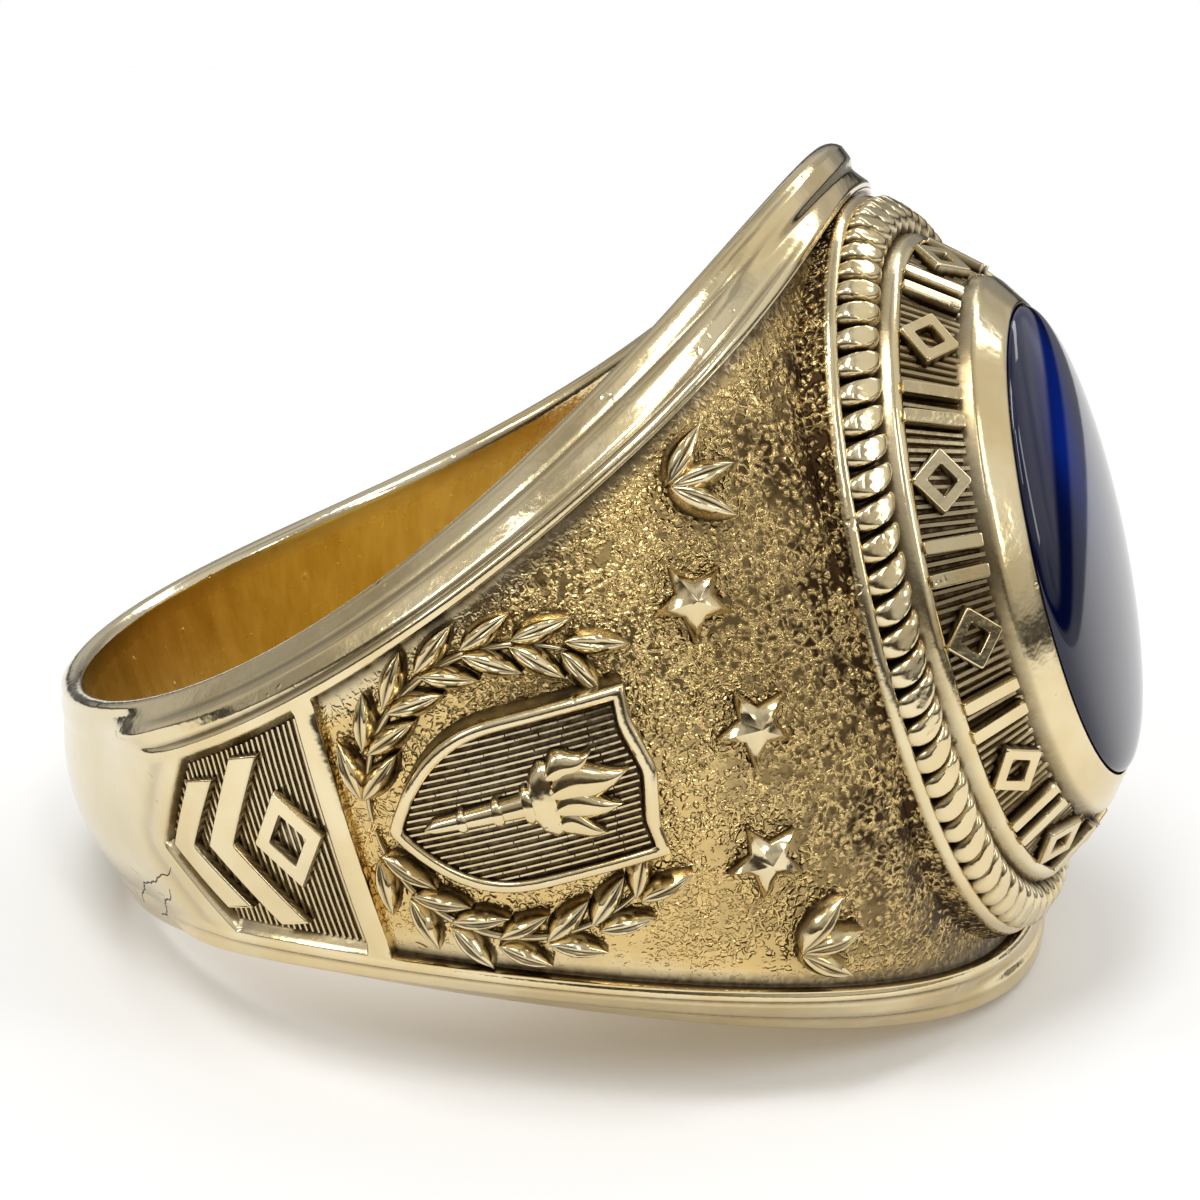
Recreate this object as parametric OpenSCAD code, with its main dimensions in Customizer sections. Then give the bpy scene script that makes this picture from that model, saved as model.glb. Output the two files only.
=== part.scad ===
// Oval-stone class ring in cast gold, lying on its side as it rests on a table.
// The ring is drawn with its finger axis along z and its head along +x, then tipped onto its edge.

/* [Finger hole] */
// Radius of the finger hole
hole_r = 10; // [8:0.1:11]

/* [Shank] */
// Half of the band's width at the back of the hand
back_half_w = 2.6; // [2:0.1:4]
// Half of the band's width across the head
head_half_w = 10; // [9.8:0.05:10.4]
// How quickly the band widens towards the head
flare = 2.2; // [1.6:0.05:3]
// Wall thickness at the middle of the back
back_wall = 0.9; // [0.85:0.05:1.2]
// Extra wall where the shoulder meets the head
shoulder_rise = 2.45; // [2:0.05:2.6]
// Angle over which that extra wall dies away
shoulder_fall = 40; // [30:1:50]
// Radius of the rounded edge at the head
head_edge_r = 0.45; // [0.4:0.05:0.55]
// Radius of the rounded edge at the back
back_edge_r = 0.3; // [0.25:0.05:0.35]

/* [Side panels] */
// Width of the polished border around the panels
border_w = 1.2; // [1:0.05:1.3]
// Depth of the panel ground below its border
panel_depth = 0.3; // [0.15:0.05:0.4]
// Angle from the head at which the main panel ends
main_end = 90; // [86:0.5:94]
// Width in degrees of the bar between the two panels
bar_deg = 2.4; // [1.5:0.1:4]
// Angle from the head at which the pointed panel starts to narrow
point_start = 108.5; // [104:0.5:112]
// Angle from the head of the pointed panel's tip
point_end = 116.5; // [113:0.5:120]

/* [Shield and wreath] */
// Angle from the head of the shield's middle
shield_at = 71; // [68:0.5:74]
// Half of the shield's width
shield_half_w = 1.9; // [1.6:0.05:2]
// Height of the shield's top edge above its middle
shield_up = 2.4; // [2.2:0.1:2.6]
// Depth of the shield's point below its middle
shield_down = 2.9; // [2.6:0.1:3.1]
// How far the shield's rim stands above the ground
shield_rise = 0.8; // [0.4:0.05:0.9]
// How far the torch stands above the shield's field
torch_rise = 0.3; // [0.15:0.05:0.4]
// Leaf pairs on each branch of the wreath
leaf_pairs = 7; // [5:1:8]
// How far the leaves stand above the ground
leaf_rise = 0.5; // [0.2:0.05:0.6]
// Reach of the points of the three stars beside the head
star_r = 0.78; // [0.5:0.02:0.9]
// How far the stars stand above the ground
star_rise = 0.45; // [0.2:0.05:0.6]

/* [Head] */
// Difference between the long and the short half axis of every oval
oval_slim = 0.8; // [0.6:0.1:1.6]
// Half length of the rope border's outer rail
rope_a = 8.68; // [8.4:0.02:8.8]
// Height of the rope border's rail above the finger axis
rope_x = 11; // [10.8:0.02:11.1]
// Strands round the rope border
rope_strands = 74; // [40:2:80]
// How far the strands stand above their groove
rope_rise = 0.34; // [0.15:0.01:0.45]
// Half length of the thin rim outside the ornament band
rim_a = 7.54; // [7.4:0.02:7.6]
// Height of that rim above the finger axis
rim_x = 12.1; // [12:0.02:12.2]
// Half length of the bezel's outer edge
bezel_a = 6.27; // [6.2:0.01:6.4]
// Height of the bezel's outer edge above the finger axis
bezel_x = 13.5; // [13.4:0.02:13.6]
// Height of the bezel's inner edge above the finger axis
seat_x = 13.98; // [13.9:0.02:14.1]
// Motifs round the ornament band, lozenges and pairs of bars in turn
band_motifs = 24; // [16:2:28]
// How far they stand above the band
band_rise = 0.24; // [0.1:0.02:0.3]

/* [Stone] */
// Half length of the stone
stone_a = 5.49; // [5.2:0.01:5.6]
// Height of the dome above the bezel's inner edge
dome_h = 0.85; // [0.5:0.05:1.5]
// Depth of the stone below the bezel's inner edge
stone_depth = 1.5; // [1:0.1:2.2]
// Gap between the stone and its seat
seat_gap = 0.03; // [0.01:0.01:0.06]

/* [Hidden] */
gold = [0.83, 0.7, 0.43];
blue = [0.05, 0.09, 0.42];

// Columns of the cast body in each stretch, from the head round to the back
head_cols = 6;
main_cols = 14;
point_cols = 7;
back_cols = 8;
panel_first = 38;
panel_last = 116;
// Angle taken by the sloping wall at the main panel's end
wall_deg = 0.8;
// Rows across a panel, and rows of the rounded border on each side of it
panel_rows = 10;
border_rows = 8;
rows = panel_rows + 2 * border_rows;
// Columns of the head, two for each strand where the rope runs
head_ring = rope_strands;
// How far the rough solid reaches inside the finger hole before that is bored
bore_stock = 0.7;
// Length of surface in one degree along the panels
panel_deg = 0.2077;

// Eased step from 0 at a to 1 at b
function ease(a, b, x) = let (t = max(0, min(1, (x - a) / (b - a)))) t * t * (3 - 2 * t);
function mix(a, b, t) = a + (b - a) * t;

// Half width of the band at angle t from the head
function half_w(t) = back_half_w + (head_half_w - back_half_w) * pow((1 + cos(t)) / 2, flare);
// Radius of the rounded edge
function edge_r(t) = mix(back_edge_r, head_edge_r, (1 + cos(t)) / 2);
// Radius of the border where it meets a panel
function border_r(t) = hole_r + 0.9 + 0.95 * ease(0, 50, t) - 0.3 * ease(60, 112, t)
    - (1.75 - back_wall) * ease(108, 132, t);
// Radius of the outer face halfway across the band
function mid_r(t) = hole_r + back_wall + shoulder_rise * (t < 36 ? pow(t / 36, 1.3) : exp((36 - t) / shoulder_fall))
    + panel_depth * ease(132, 108, t);
// Half width of the panel area
function panel_w(t) = half_w(t) - border_w * mix(1, 0.7, ease(112, 126, t));
// Outer face at the level of the border
function face_r(t, z) = let (s = z / panel_w(t)) border_r(t) + (mid_r(t) - border_r(t)) * (1 - s * s);

// The rounded border: how far outside the finger hole and how far below the band's edge each row lies
function border_row(t, k) =
    let (e = edge_r(t),
         side = ease(12, 42, t),
         back = ease(110, 126, t),
         out = border_r(t) - hole_r,
         w = half_w(t) - panel_w(t),
         q = 1 - sqrt(0.5),
         arc = [[-bore_stock, q * e + bore_stock + q * e], [q * e, q * e], [e, 0], [e * (2 - q), q * e]],
         at_head = [[2 * e, e], [2 * e - 0.05, e + 0.25], [out + 0.05, w - 0.12], [out, w - 0.04]],
         at_side = [[0.98, 0.34], [1.3, 0.5], [out - 0.12, w - 0.3], [out + 0.03, w - 0.16]],
         at_back = [[2 * e - 0.06, 0.7 * e], [out - 0.04, w * 0.6], [out - 0.02, w * 0.75], [out - 0.01, w * 0.9]],
         fan = k < 4 ? arc[k] : mix(mix(at_head[k - 4], at_side[k - 4], side), at_back[k - 4], back))
    fan;

// Ground of the main panel, sunk below its border
function panel_r(t, z) = face_r(t, z) - (t < main_end ? panel_depth : 0);

// Share of the panel's half width at which row k lies, with the first step of the panel wall close to the edge
function panel_share(t, k) = let (e = 0.14 / panel_w(t), n = panel_rows - 3)
    k == 0 ? 1 : k == panel_rows - 1 ? -1 : mix(1 - e, e - 1, (k - 1) / n);

// One point of the section at angle t, as radius and height
function section_point(t, j) =
    j < border_rows ? let (b = border_row(t, j)) [hole_r + b[0], half_w(t) - b[1]]
    : j >= border_rows + panel_rows ? let (b = border_row(t, rows - 1 - j)) [hole_r + b[0], b[1] - half_w(t)]
    : let (k = j - border_rows, z = panel_w(t) * panel_share(t, k))
      [k == 0 || k == panel_rows - 1 ? border_r(t) : panel_r(t, z), z];

half_turn = concat(
    [for (i = [0:head_cols - 1]) i * panel_first / head_cols],
    [for (i = [0:main_cols]) mix(panel_first, main_end - wall_deg, i / main_cols)],
    [for (i = [0:point_cols - 1]) mix(main_end, panel_last, i / point_cols)],
    [for (i = [0:back_cols]) mix(panel_last, 180, i / back_cols)]);
turn = concat(half_turn, [for (i = [len(half_turn) - 2:-1:1]) -half_turn[i]]);
cols = len(turn);
body_points = [for (t = turn, j = [0:rows - 1])
    let (p = section_point(abs(t), j)) [p[0] * cos(t), p[0] * sin(t), p[1]]];

// Two triangles on the square between columns i and i2 and rows j and j2 of a grid n rows deep
function grid_square(i, i2, j, j2, n) = [[i * n + j, i2 * n + j2, i * n + j2], [i * n + j, i2 * n + j, i2 * n + j2]];
body_faces = [for (i = [0:cols - 1], j = [0:rows - 1], f = grid_square(i, (i + 1) % cols, j, (j + 1) % rows, rows)) f];

// Rings of the head from its buried base to the floor of the seat: height, half length and rise of the strands
seat_a = stone_a + seat_gap;
band_cut = 0.22;
strand_twist = 0.6;
head_profile = [
    [10.3, rope_a + 0.1, 0],
    [rope_x, rope_a, 0],
    [rope_x + 0.14, rope_a - 0.1, 0],
    [rope_x + 0.02, rope_a - 0.24, 0],
    [rope_x + 0.1, rope_a - 0.42, 1],
    [rope_x + 0.32, rope_a - 0.62, 1],
    [rope_x + 0.5, rope_a - 0.84, 1],
    [rope_x + 0.48, rope_a - 0.98, 0],
    [rim_x - 0.1, rim_a + 0.02, 0],
    [rim_x, rim_a - 0.08, 0],
    [rim_x - band_cut + 0.08, rim_a - 0.28, 0],
    [bezel_x - band_cut - 0.2, bezel_a + 0.1, 0],
    [bezel_x - 0.04, bezel_a, 0],
    [seat_x, seat_a, 0],
    [seat_x - stone_depth - 0.1, seat_a - 0.5, 0]];
rings = len(head_profile);
rope_first = 4;

// Points of one ring: where the rope runs they alternate between crest and valley, turned a little from ring to ring
function ring_count(k) = head_profile[k][2] == 0 ? head_ring : 2 * head_ring;
function ring_points(k) = let (p = head_profile[k], n = ring_count(k), lead = strand_twist * (k - rope_first) * p[2])
    [for (i = [0:n - 1])
        let (a = 360 * (i + lead) / n, h = p[2] * (i % 2 == 0 ? rope_rise : 0.08))
        [p[0] + h * 0.75, (p[1] - oval_slim + h * 0.5) * cos(a), (p[1] + h * 0.5) * sin(a)]];
function ring_start(k) = k == 0 ? 0 : ring_start(k - 1) + ring_count(k - 1);

// Triangles between ring k and ring k + 1, whose counts are the same or differ by two times
function join_rings(k) =
    let (a = ring_start(k), b = ring_start(k + 1), n = ring_count(k), m = ring_count(k + 1))
    n == m ? [for (i = [0:n - 1], f = [[a + i, b + (i + 1) % m, a + (i + 1) % n], [a + i, b + i, b + (i + 1) % m]]) f]
    : n < m ? [for (i = [0:n - 1], f = [
        [a + i, b + 2 * i, b + (2 * i + 1) % m],
        [a + i, b + (2 * i + 1) % m, a + (i + 1) % n],
        [a + (i + 1) % n, b + (2 * i + 1) % m, b + (2 * i + 2) % m]]) f]
    : [for (i = [0:m - 1], f = [
        [a + 2 * i, b + i, a + (2 * i + 1) % n],
        [a + (2 * i + 1) % n, b + i, b + (i + 1) % m],
        [a + (2 * i + 1) % n, b + (i + 1) % m, a + (2 * i + 2) % n]]) f];
head_points = [for (k = [0:rings - 1], p = ring_points(k)) p];
head_faces = concat(
    [[for (i = [0:ring_count(0) - 1]) i]],
    [for (k = [0:rings - 2], f = join_rings(k)) f],
    [[for (i = [ring_count(rings - 1) - 1:-1:0]) ring_start(rings - 1) + i]]);

// Ground of either panel at angle t and height z, on which the relief stands
function ground_r(t, z) = face_r(t, z) - panel_depth;
// A point of the relief: x across the band, y towards the stone from angle at, h above the ground
function on_panel(x, y, h, at, side) = let (t = at - y / panel_deg, r = ground_r(t, x) + h)
    [r * cos(t), -side * r * sin(t), x];
root = 0.3;

// A solid between rings of the same length, each a list of points, closed by a fan to the point top
function ring_solid(levels, top) = let (n = len(levels[0]), last = (len(levels) - 1) * n)
    [concat([for (l = levels, p = l) p], [top]),
     concat(
        [[for (i = [0:n - 1]) i]],
        [for (k = [0:len(levels) - 2], i = [0:n - 1]) let (a = k * n, c = a + n, j = (i + 1) % n)
            each [[a + i, c + j, a + j], [a + i, c + i, c + j]]],
        [for (i = [0:n - 1]) [last + i, last + n, last + (i + 1) % n]])];
// The same solid with its faces turned round, for the side where the relief is mirrored
function turned(solid) = [solid[0], [for (f = solid[1]) [for (i = [len(f) - 1:-1:0]) f[i]]]];

// A boss with the given outline: rows of levels give its height and the share of the outline left there
function boss(outline, centre, levels, top, at, side) =
    let (solid = ring_solid(
        [for (l = levels) [for (p = outline) let (q = centre + (p - centre) * l[1]) on_panel(q[0], q[1], l[0], at, side)]],
        on_panel(centre[0], centre[1], top, at, side)))
    side > 0 ? turned(solid) : solid;

// A pointed leaf at (cx, cy), turned by a, with a ridge along its middle
function leaf_outline(cx, cy, a, l, w) = [for (p = [[1, 0], [0, 1], [-1, 0], [0, -1]])
    [cx + p[0] * l * cos(a) - p[1] * w * sin(a), cy + p[0] * l * sin(a) + p[1] * w * cos(a)]];
function leaf(cx, cy, a, l, w, at, side) =
    boss(leaf_outline(cx, cy, a, l, w), [cx, cy], [[-root, 1], [leaf_rise * 0.45, 1]], leaf_rise, at, side);

// Heater shield: straight top with a small peak, sides that run down to a point
shield_outline = concat(
    [[0, shield_up + 0.15], [-shield_half_w, shield_up]],
    [for (v = [0.15, 0.45, 0.7, 0.87]) [-shield_half_w * (1 - pow(v, 2.6)), -shield_down * v]],
    [[0, -shield_down]],
    [for (v = [0.87, 0.7, 0.45, 0.15]) [shield_half_w * (1 - pow(v, 2.6)), -shield_down * v]],
    [[shield_half_w, shield_up]]);
function shield(side) = boss(shield_outline, [0, 0],
    [[-root, 1.04], [shield_rise - 0.12, 1], [shield_rise, 0.94], [shield_rise, 0.84], [shield_rise - 0.16, 0.79]],
    shield_rise, shield_at, side);

// Torch on the shield: tapered handle, cup and flame
torch_outline = [[0.1, -1.75], [0.2, 0.05], [0.62, 0.2], [0.7, 0.5], [-0.7, 0.5], [-0.62, 0.2], [-0.2, 0.05], [-0.1, -1.75]];
flame_outline = [[0, 1.9], [-0.3, 1.35], [-0.52, 1.15], [-0.5, 0.75], [-0.2, 0.58], [0.2, 0.58], [0.5, 0.8], [0.42, 1.3]];
torch_levels = [[shield_rise - 0.45, 1], [shield_rise - 0.08 + torch_rise * 0.6, 1], [shield_rise - 0.08 + torch_rise, 0.7]];
function torch(side) = boss(torch_outline, [0, 0.2], torch_levels, shield_rise - 0.08 + torch_rise, shield_at, side);
function flame(side) = boss(flame_outline, [0, 1], torch_levels, shield_rise + torch_rise, shield_at, side);

// Branches of the wreath: pairs of leaves along an oval round the shield, those outside splayed more
function wreath(side) = [for (i = [0:leaf_pairs - 1], out = [-1, 1], branch = [-1, 1])
    let (a = -68 + i * 108 / (leaf_pairs - 1), r = 3.2 + out * 0.34)
    leaf(branch * r * cos(a), (r + 0.1) * sin(a) - 0.1, 90 - branch * (-a + out * 26), 0.62, 0.25, shield_at, side)];

// Sprigs of three leaves in the corners beside the head
function sprigs(side) = [for (a = [-42, 0, 42], branch = [-1, 1])
    leaf(branch * (5.2 + 0.75 * sin(a)), 4.6 + 0.75 * cos(a), 90 - branch * a, 0.62, 0.24, shield_at, side)];

// Raised work of the pointed panel, flush with its border: a lozenge over two chevrons
bar_w = 0.25;
function chevron(tip, wide, high, side) =
    boss([[0, tip - bar_w], [wide, tip + high - bar_w], [wide, tip + high + bar_w], [0, tip + bar_w],
          [-wide, tip + high + bar_w], [-wide, tip + high - bar_w]],
        [0, tip], [[-root, 1.02], [panel_depth, 1]], panel_depth, main_end + bar_deg, side);
function lozenge(side) = boss([[0, -1.85], [0.95, -1.05], [0, -0.25], [-0.95, -1.05]], [0, -1.05],
    [[-root, 1.02], [panel_depth, 1], [panel_depth, 0.55], [panel_depth * 0.3, 0.42]], panel_depth * 0.3, main_end + bar_deg, side);

// Five-pointed stars in an arc between the shield and the head
function star_outline(cx, cy, r) = [for (i = [0:9]) let (a = 90 + 36 * i, l = r * (i % 2 == 0 ? 1 : 0.45))
    [cx + l * cos(a), cy + l * sin(a)]];
function star(cx, cy, side) = boss(star_outline(cx, cy, star_r), [cx, cy],
    [[-root, 1.05], [0.2, 1]], star_rise, shield_at, side);

panel_relief = [for (side = [-1, 1]) each concat(
    [shield(side), torch(side), flame(side)],
    [lozenge(side), chevron(-4.25, 1.55, 1.2, side), chevron(-3, 2.05, 1.35, side)],
    [for (x = [-2.9, 0, 2.9]) star(x, 4.75 - 0.05 * x * x, side)],
    wreath(side), sprigs(side))];

// Cutter for the ground of the pointed panel, a little inside the border's edge
cut_inset = 0.07;
cut_stations = concat(
    [for (i = [0:4]) let (t = mix(main_end + bar_deg, point_start, i / 4)) [t, panel_w(t) - cut_inset]],
    [[mix(point_start, point_end, 0.5), panel_w(point_start) / 2], [point_end, 0.06]]);
function point_cutter(side) =
    let (n = len(cut_stations), v = [1, 0.5, 0, -0.5, -1], m = len(v),
         pts = [for (h = [0, 1], s = cut_stations, u = v)
            let (z = s[1] * u, r = ground_r(s[0], z) + 1.2 * h) [r * cos(s[0]), -side * r * sin(s[0]), z]],
         low = [for (i = [0:n - 2], j = [0:m - 2]) each [
            [i * m + j, (i + 1) * m + j + 1, i * m + j + 1], [i * m + j, (i + 1) * m + j, (i + 1) * m + j + 1]]],
         high = [for (f = low) [f[2] + n * m, f[1] + n * m, f[0] + n * m]],
         rim = concat([for (j = [0:m - 1]) j], [for (i = [1:n - 1]) i * m + m - 1],
            [for (j = [m - 2:-1:0]) (n - 1) * m + j], [for (i = [n - 2:-1:1]) i * m]),
         c = len(rim),
         wall = [for (k = [0:c - 1]) let (p = rim[k], q = rim[(k + 1) % c]) each [[p, q, q + n * m], [p, q + n * m, p + n * m]]],
         solid = [pts, concat(low, high, wall)])
    side > 0 ? solid : turned(solid);
cutters = [point_cutter(-1), point_cutter(1)];

// A point of the ornament band: angle a round the oval, share v from rim to bezel, h above the band
function on_band(a, v, h) =
    let (x = mix(rim_x - band_cut + 0.08, bezel_x - band_cut - 0.2, v), l = mix(rim_a - 0.28, bezel_a + 0.1, v))
    [x + h * 0.6, (l - oval_slim + h * 0.8) * cos(a), (l + h * 0.8) * sin(a)];
function band_boss(outline, centre, a) = ring_solid(
    [for (l = [[-0.2, 1.05], [band_rise, 1]]) [for (p = outline) let (q = centre + (p - centre) * l[1]) on_band(a + q[0], q[1], l[0])]],
    on_band(a + centre[0], centre[1], band_rise + 0.05));
// Angle that spaces the motifs evenly along the oval
function even_angle(i) = let (u = 360 * i / band_motifs) atan2((rim_a - oval_slim) * sin(u), rim_a * cos(u));
band_relief = [for (i = [0:band_motifs - 1])
    let (a = even_angle(i))
    each (i % 2 == 0
        ? [band_boss([[5, 0.5], [0, 0.9], [-5, 0.5], [0, 0.1]], [0, 0.5], a)]
        : [for (c = [-2.6, 2.6]) band_boss([[c + 1.1, 0.1], [c + 1.1, 0.9], [c - 1.1, 0.9], [c - 1.1, 0.1]], [c, 0.5], a)])];

// Angle at which the ring rests on the rounded edges of its head and its back
lean_x = 2 * hole_r + head_edge_r + back_edge_r;
lean_z = (head_half_w - head_edge_r) - (back_half_w - back_edge_r);
lean = atan2(lean_z, lean_x) + asin((head_edge_r - back_edge_r) / norm([lean_x, lean_z]));
// Height of the finger axis above the table where it crosses the middle of the band
rest_z = (head_half_w - head_edge_r) * cos(lean) - (hole_r + head_edge_r) * sin(lean) + head_edge_r;
// Reach of the tipped ring ahead of and behind the finger axis
reach_front = max([for (p = head_points) p[0] * cos(lean) - p[2] * sin(lean)]);
reach_back = min([for (p = body_points) p[0] * cos(lean) - p[2] * sin(lean)]);
centre_x = (reach_front + reach_back) / 2;

module tip_onto_edge() {
    translate([-centre_x, 0, rest_z])
        rotate([0, -lean, 0])
            children();
}

module each_of(solids) {
    for (s = solids)
        polyhedron(points = s[0], faces = s[1], convexity = 4);
}

// Band of the ring, with the ground of its pointed panels cut out
module band() {
    difference() {
        polyhedron(points = body_points, faces = body_faces, convexity = 8);
        each_of(cutters);
    }
}

module head() {
    polyhedron(points = head_points, faces = head_faces, convexity = 6);
    each_of(band_relief);
}

module side_relief() {
    each_of(panel_relief);
}

// One casting, trued to the exact width across the head
module casting() {
    resize([0, 0, 2 * head_half_w]) {
        band();
        head();
        side_relief();
    }
}

module ring_body() {
    color(gold)
        tip_onto_edge()
            difference() {
                casting();
                cylinder(r = hole_r, h = 3 * head_half_w, center = true, $fn = 180);
            }
}

// A low domed cabochon with a tapered underside
stone_sides = 48;
dome_rings = 5;
stone_profile = concat(
    [[-stone_depth, stone_a - 0.55], [-0.35, stone_a - 0.12]],
    [for (i = [0:dome_rings - 1]) let (a = 90 * i / dome_rings) [dome_h * sin(a), stone_a * cos(a)]]);
stone_points = concat(
    [for (p = stone_profile, i = [0:stone_sides - 1])
        let (a = 360 * i / stone_sides, f = p[1] / stone_a)
        [seat_x + p[0], (stone_a - oval_slim) * f * cos(a), stone_a * f * sin(a)]],
    [[seat_x + dome_h, 0, 0]]);
stone_rings = len(stone_profile);
stone_faces = concat(
    [[for (i = [0:stone_sides - 1]) i]],
    [for (k = [0:stone_rings - 2], i = [0:stone_sides - 1])
        let (a = k * stone_sides, b = a + stone_sides, j = (i + 1) % stone_sides)
        each [[a + i, b + j, a + j], [a + i, b + i, b + j]]],
    [for (i = [0:stone_sides - 1]) let (a = (stone_rings - 1) * stone_sides)
        [a + i, stone_rings * stone_sides, a + (i + 1) % stone_sides]]);

module stone() {
    color(blue)
        tip_onto_edge()
            polyhedron(points = stone_points, faces = stone_faces, convexity = 2);
}

ring_body();
stone();
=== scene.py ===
"""Looks of an oval-stone class ring in cast gold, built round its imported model.

The ring is drawn in its own millimetres, with the finger axis along z and the head along +x,
and is then tipped onto its edge, as it lies on a table.
"""

import logging
import math
from dataclasses import dataclass, field
from enum import Enum
from typing import Sequence

import bpy
import numpy as np
from mathutils import Matrix, Vector

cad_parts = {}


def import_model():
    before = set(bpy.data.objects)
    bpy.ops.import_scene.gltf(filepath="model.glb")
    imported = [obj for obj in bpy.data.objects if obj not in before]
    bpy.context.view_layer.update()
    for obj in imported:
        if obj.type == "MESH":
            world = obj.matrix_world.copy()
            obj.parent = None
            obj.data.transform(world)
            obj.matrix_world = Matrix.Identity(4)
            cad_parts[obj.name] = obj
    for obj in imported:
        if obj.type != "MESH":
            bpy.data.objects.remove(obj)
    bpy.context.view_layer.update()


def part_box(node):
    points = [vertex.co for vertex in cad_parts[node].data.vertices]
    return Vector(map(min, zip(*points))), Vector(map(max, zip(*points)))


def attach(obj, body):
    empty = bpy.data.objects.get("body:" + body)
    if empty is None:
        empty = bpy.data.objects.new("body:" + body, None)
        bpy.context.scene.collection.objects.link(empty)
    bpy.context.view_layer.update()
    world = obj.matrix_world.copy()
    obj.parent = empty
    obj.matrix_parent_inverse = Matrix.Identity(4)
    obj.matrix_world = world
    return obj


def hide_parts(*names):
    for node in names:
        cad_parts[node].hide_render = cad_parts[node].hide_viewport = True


LOG = logging.getLogger("class_ring")
MM = 0.001
BODY = "root"
PHOTO_SIDE = 1200
SENSOR_MM = 36.0
SHARP_DEG = 50.0

Array = np.ndarray
Place = tuple[float, float]
Outline = Sequence[Place]
Colour = tuple[float, float, float]


def ease(a: float, b: float, x: Array | float) -> Array:
    """Eased step from 0 at a to 1 at b.

    Args:
        a: where the step starts.
        b: where it ends, above or below a.
        x: where it is wanted.

    Returns:
        The height of the step at x, from 0 to 1.
    """
    t = np.clip((np.asarray(x, float) - a) / (b - a), 0, 1)
    return t * t * (3 - 2 * t)


def mix(a: Array | float, b: Array | float, t: Array | float) -> Array | float:
    """The value the share t of the way from a to b."""
    return a + (b - a) * t


def cosd(deg: Array | float) -> Array:
    """Cosine of an angle in degrees."""
    return np.cos(np.radians(deg))


def sind(deg: Array | float) -> Array:
    """Sine of an angle in degrees."""
    return np.sin(np.radians(deg))


def unit(v: Array) -> Array:
    """The vectors of v, each scaled to length 1."""
    return v / np.maximum(np.linalg.norm(v, axis=-1, keepdims=True), 1e-12)


def resample(points: Array, count: int, soften: int = 0) -> Array:
    """Points spaced evenly along a polyline, with its corners softened.

    Args:
        points: the polyline, one point a row.
        count: how many points to return.
        soften: how many times each inner point moves to the average of itself and its neighbours.

    Returns:
        count points, the first and last where the polyline has them.
    """
    step = np.linalg.norm(np.diff(points, axis=0), axis=1)
    along = np.concatenate([[0], np.cumsum(step)])
    want = np.linspace(0, along[-1], count)
    out = np.stack([np.interp(want, along, points[:, k]) for k in range(points.shape[1])], axis=1)
    for _ in range(soften):
        out[1:-1] = (out[:-2] + 2 * out[1:-1] + out[2:]) / 4
    return out


class Mark(Enum):
    """What a finish reads at each point of a mesh, from 0 to 1, by the name of the attribute."""

    # Darkness of patina in the hollows, and of painted shade along some grooves.
    GRIME = "grime"
    STIPPLE = "stipple"
    INSIDE = "inside"
    # Painted blue light in the stone's colour.
    GLOW = "glow"


class Skin(Enum):
    """What the casting's surface is like at a face, by the name of its finish."""

    PLAIN = "worn_gold"
    GROUND = "stippled_gold"
    HOLE = "worn_in_gold"


class Side(Enum):
    """The ring's two faces; NEAR turns towards the camera."""

    NEAR = 1
    FAR = -1


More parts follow.
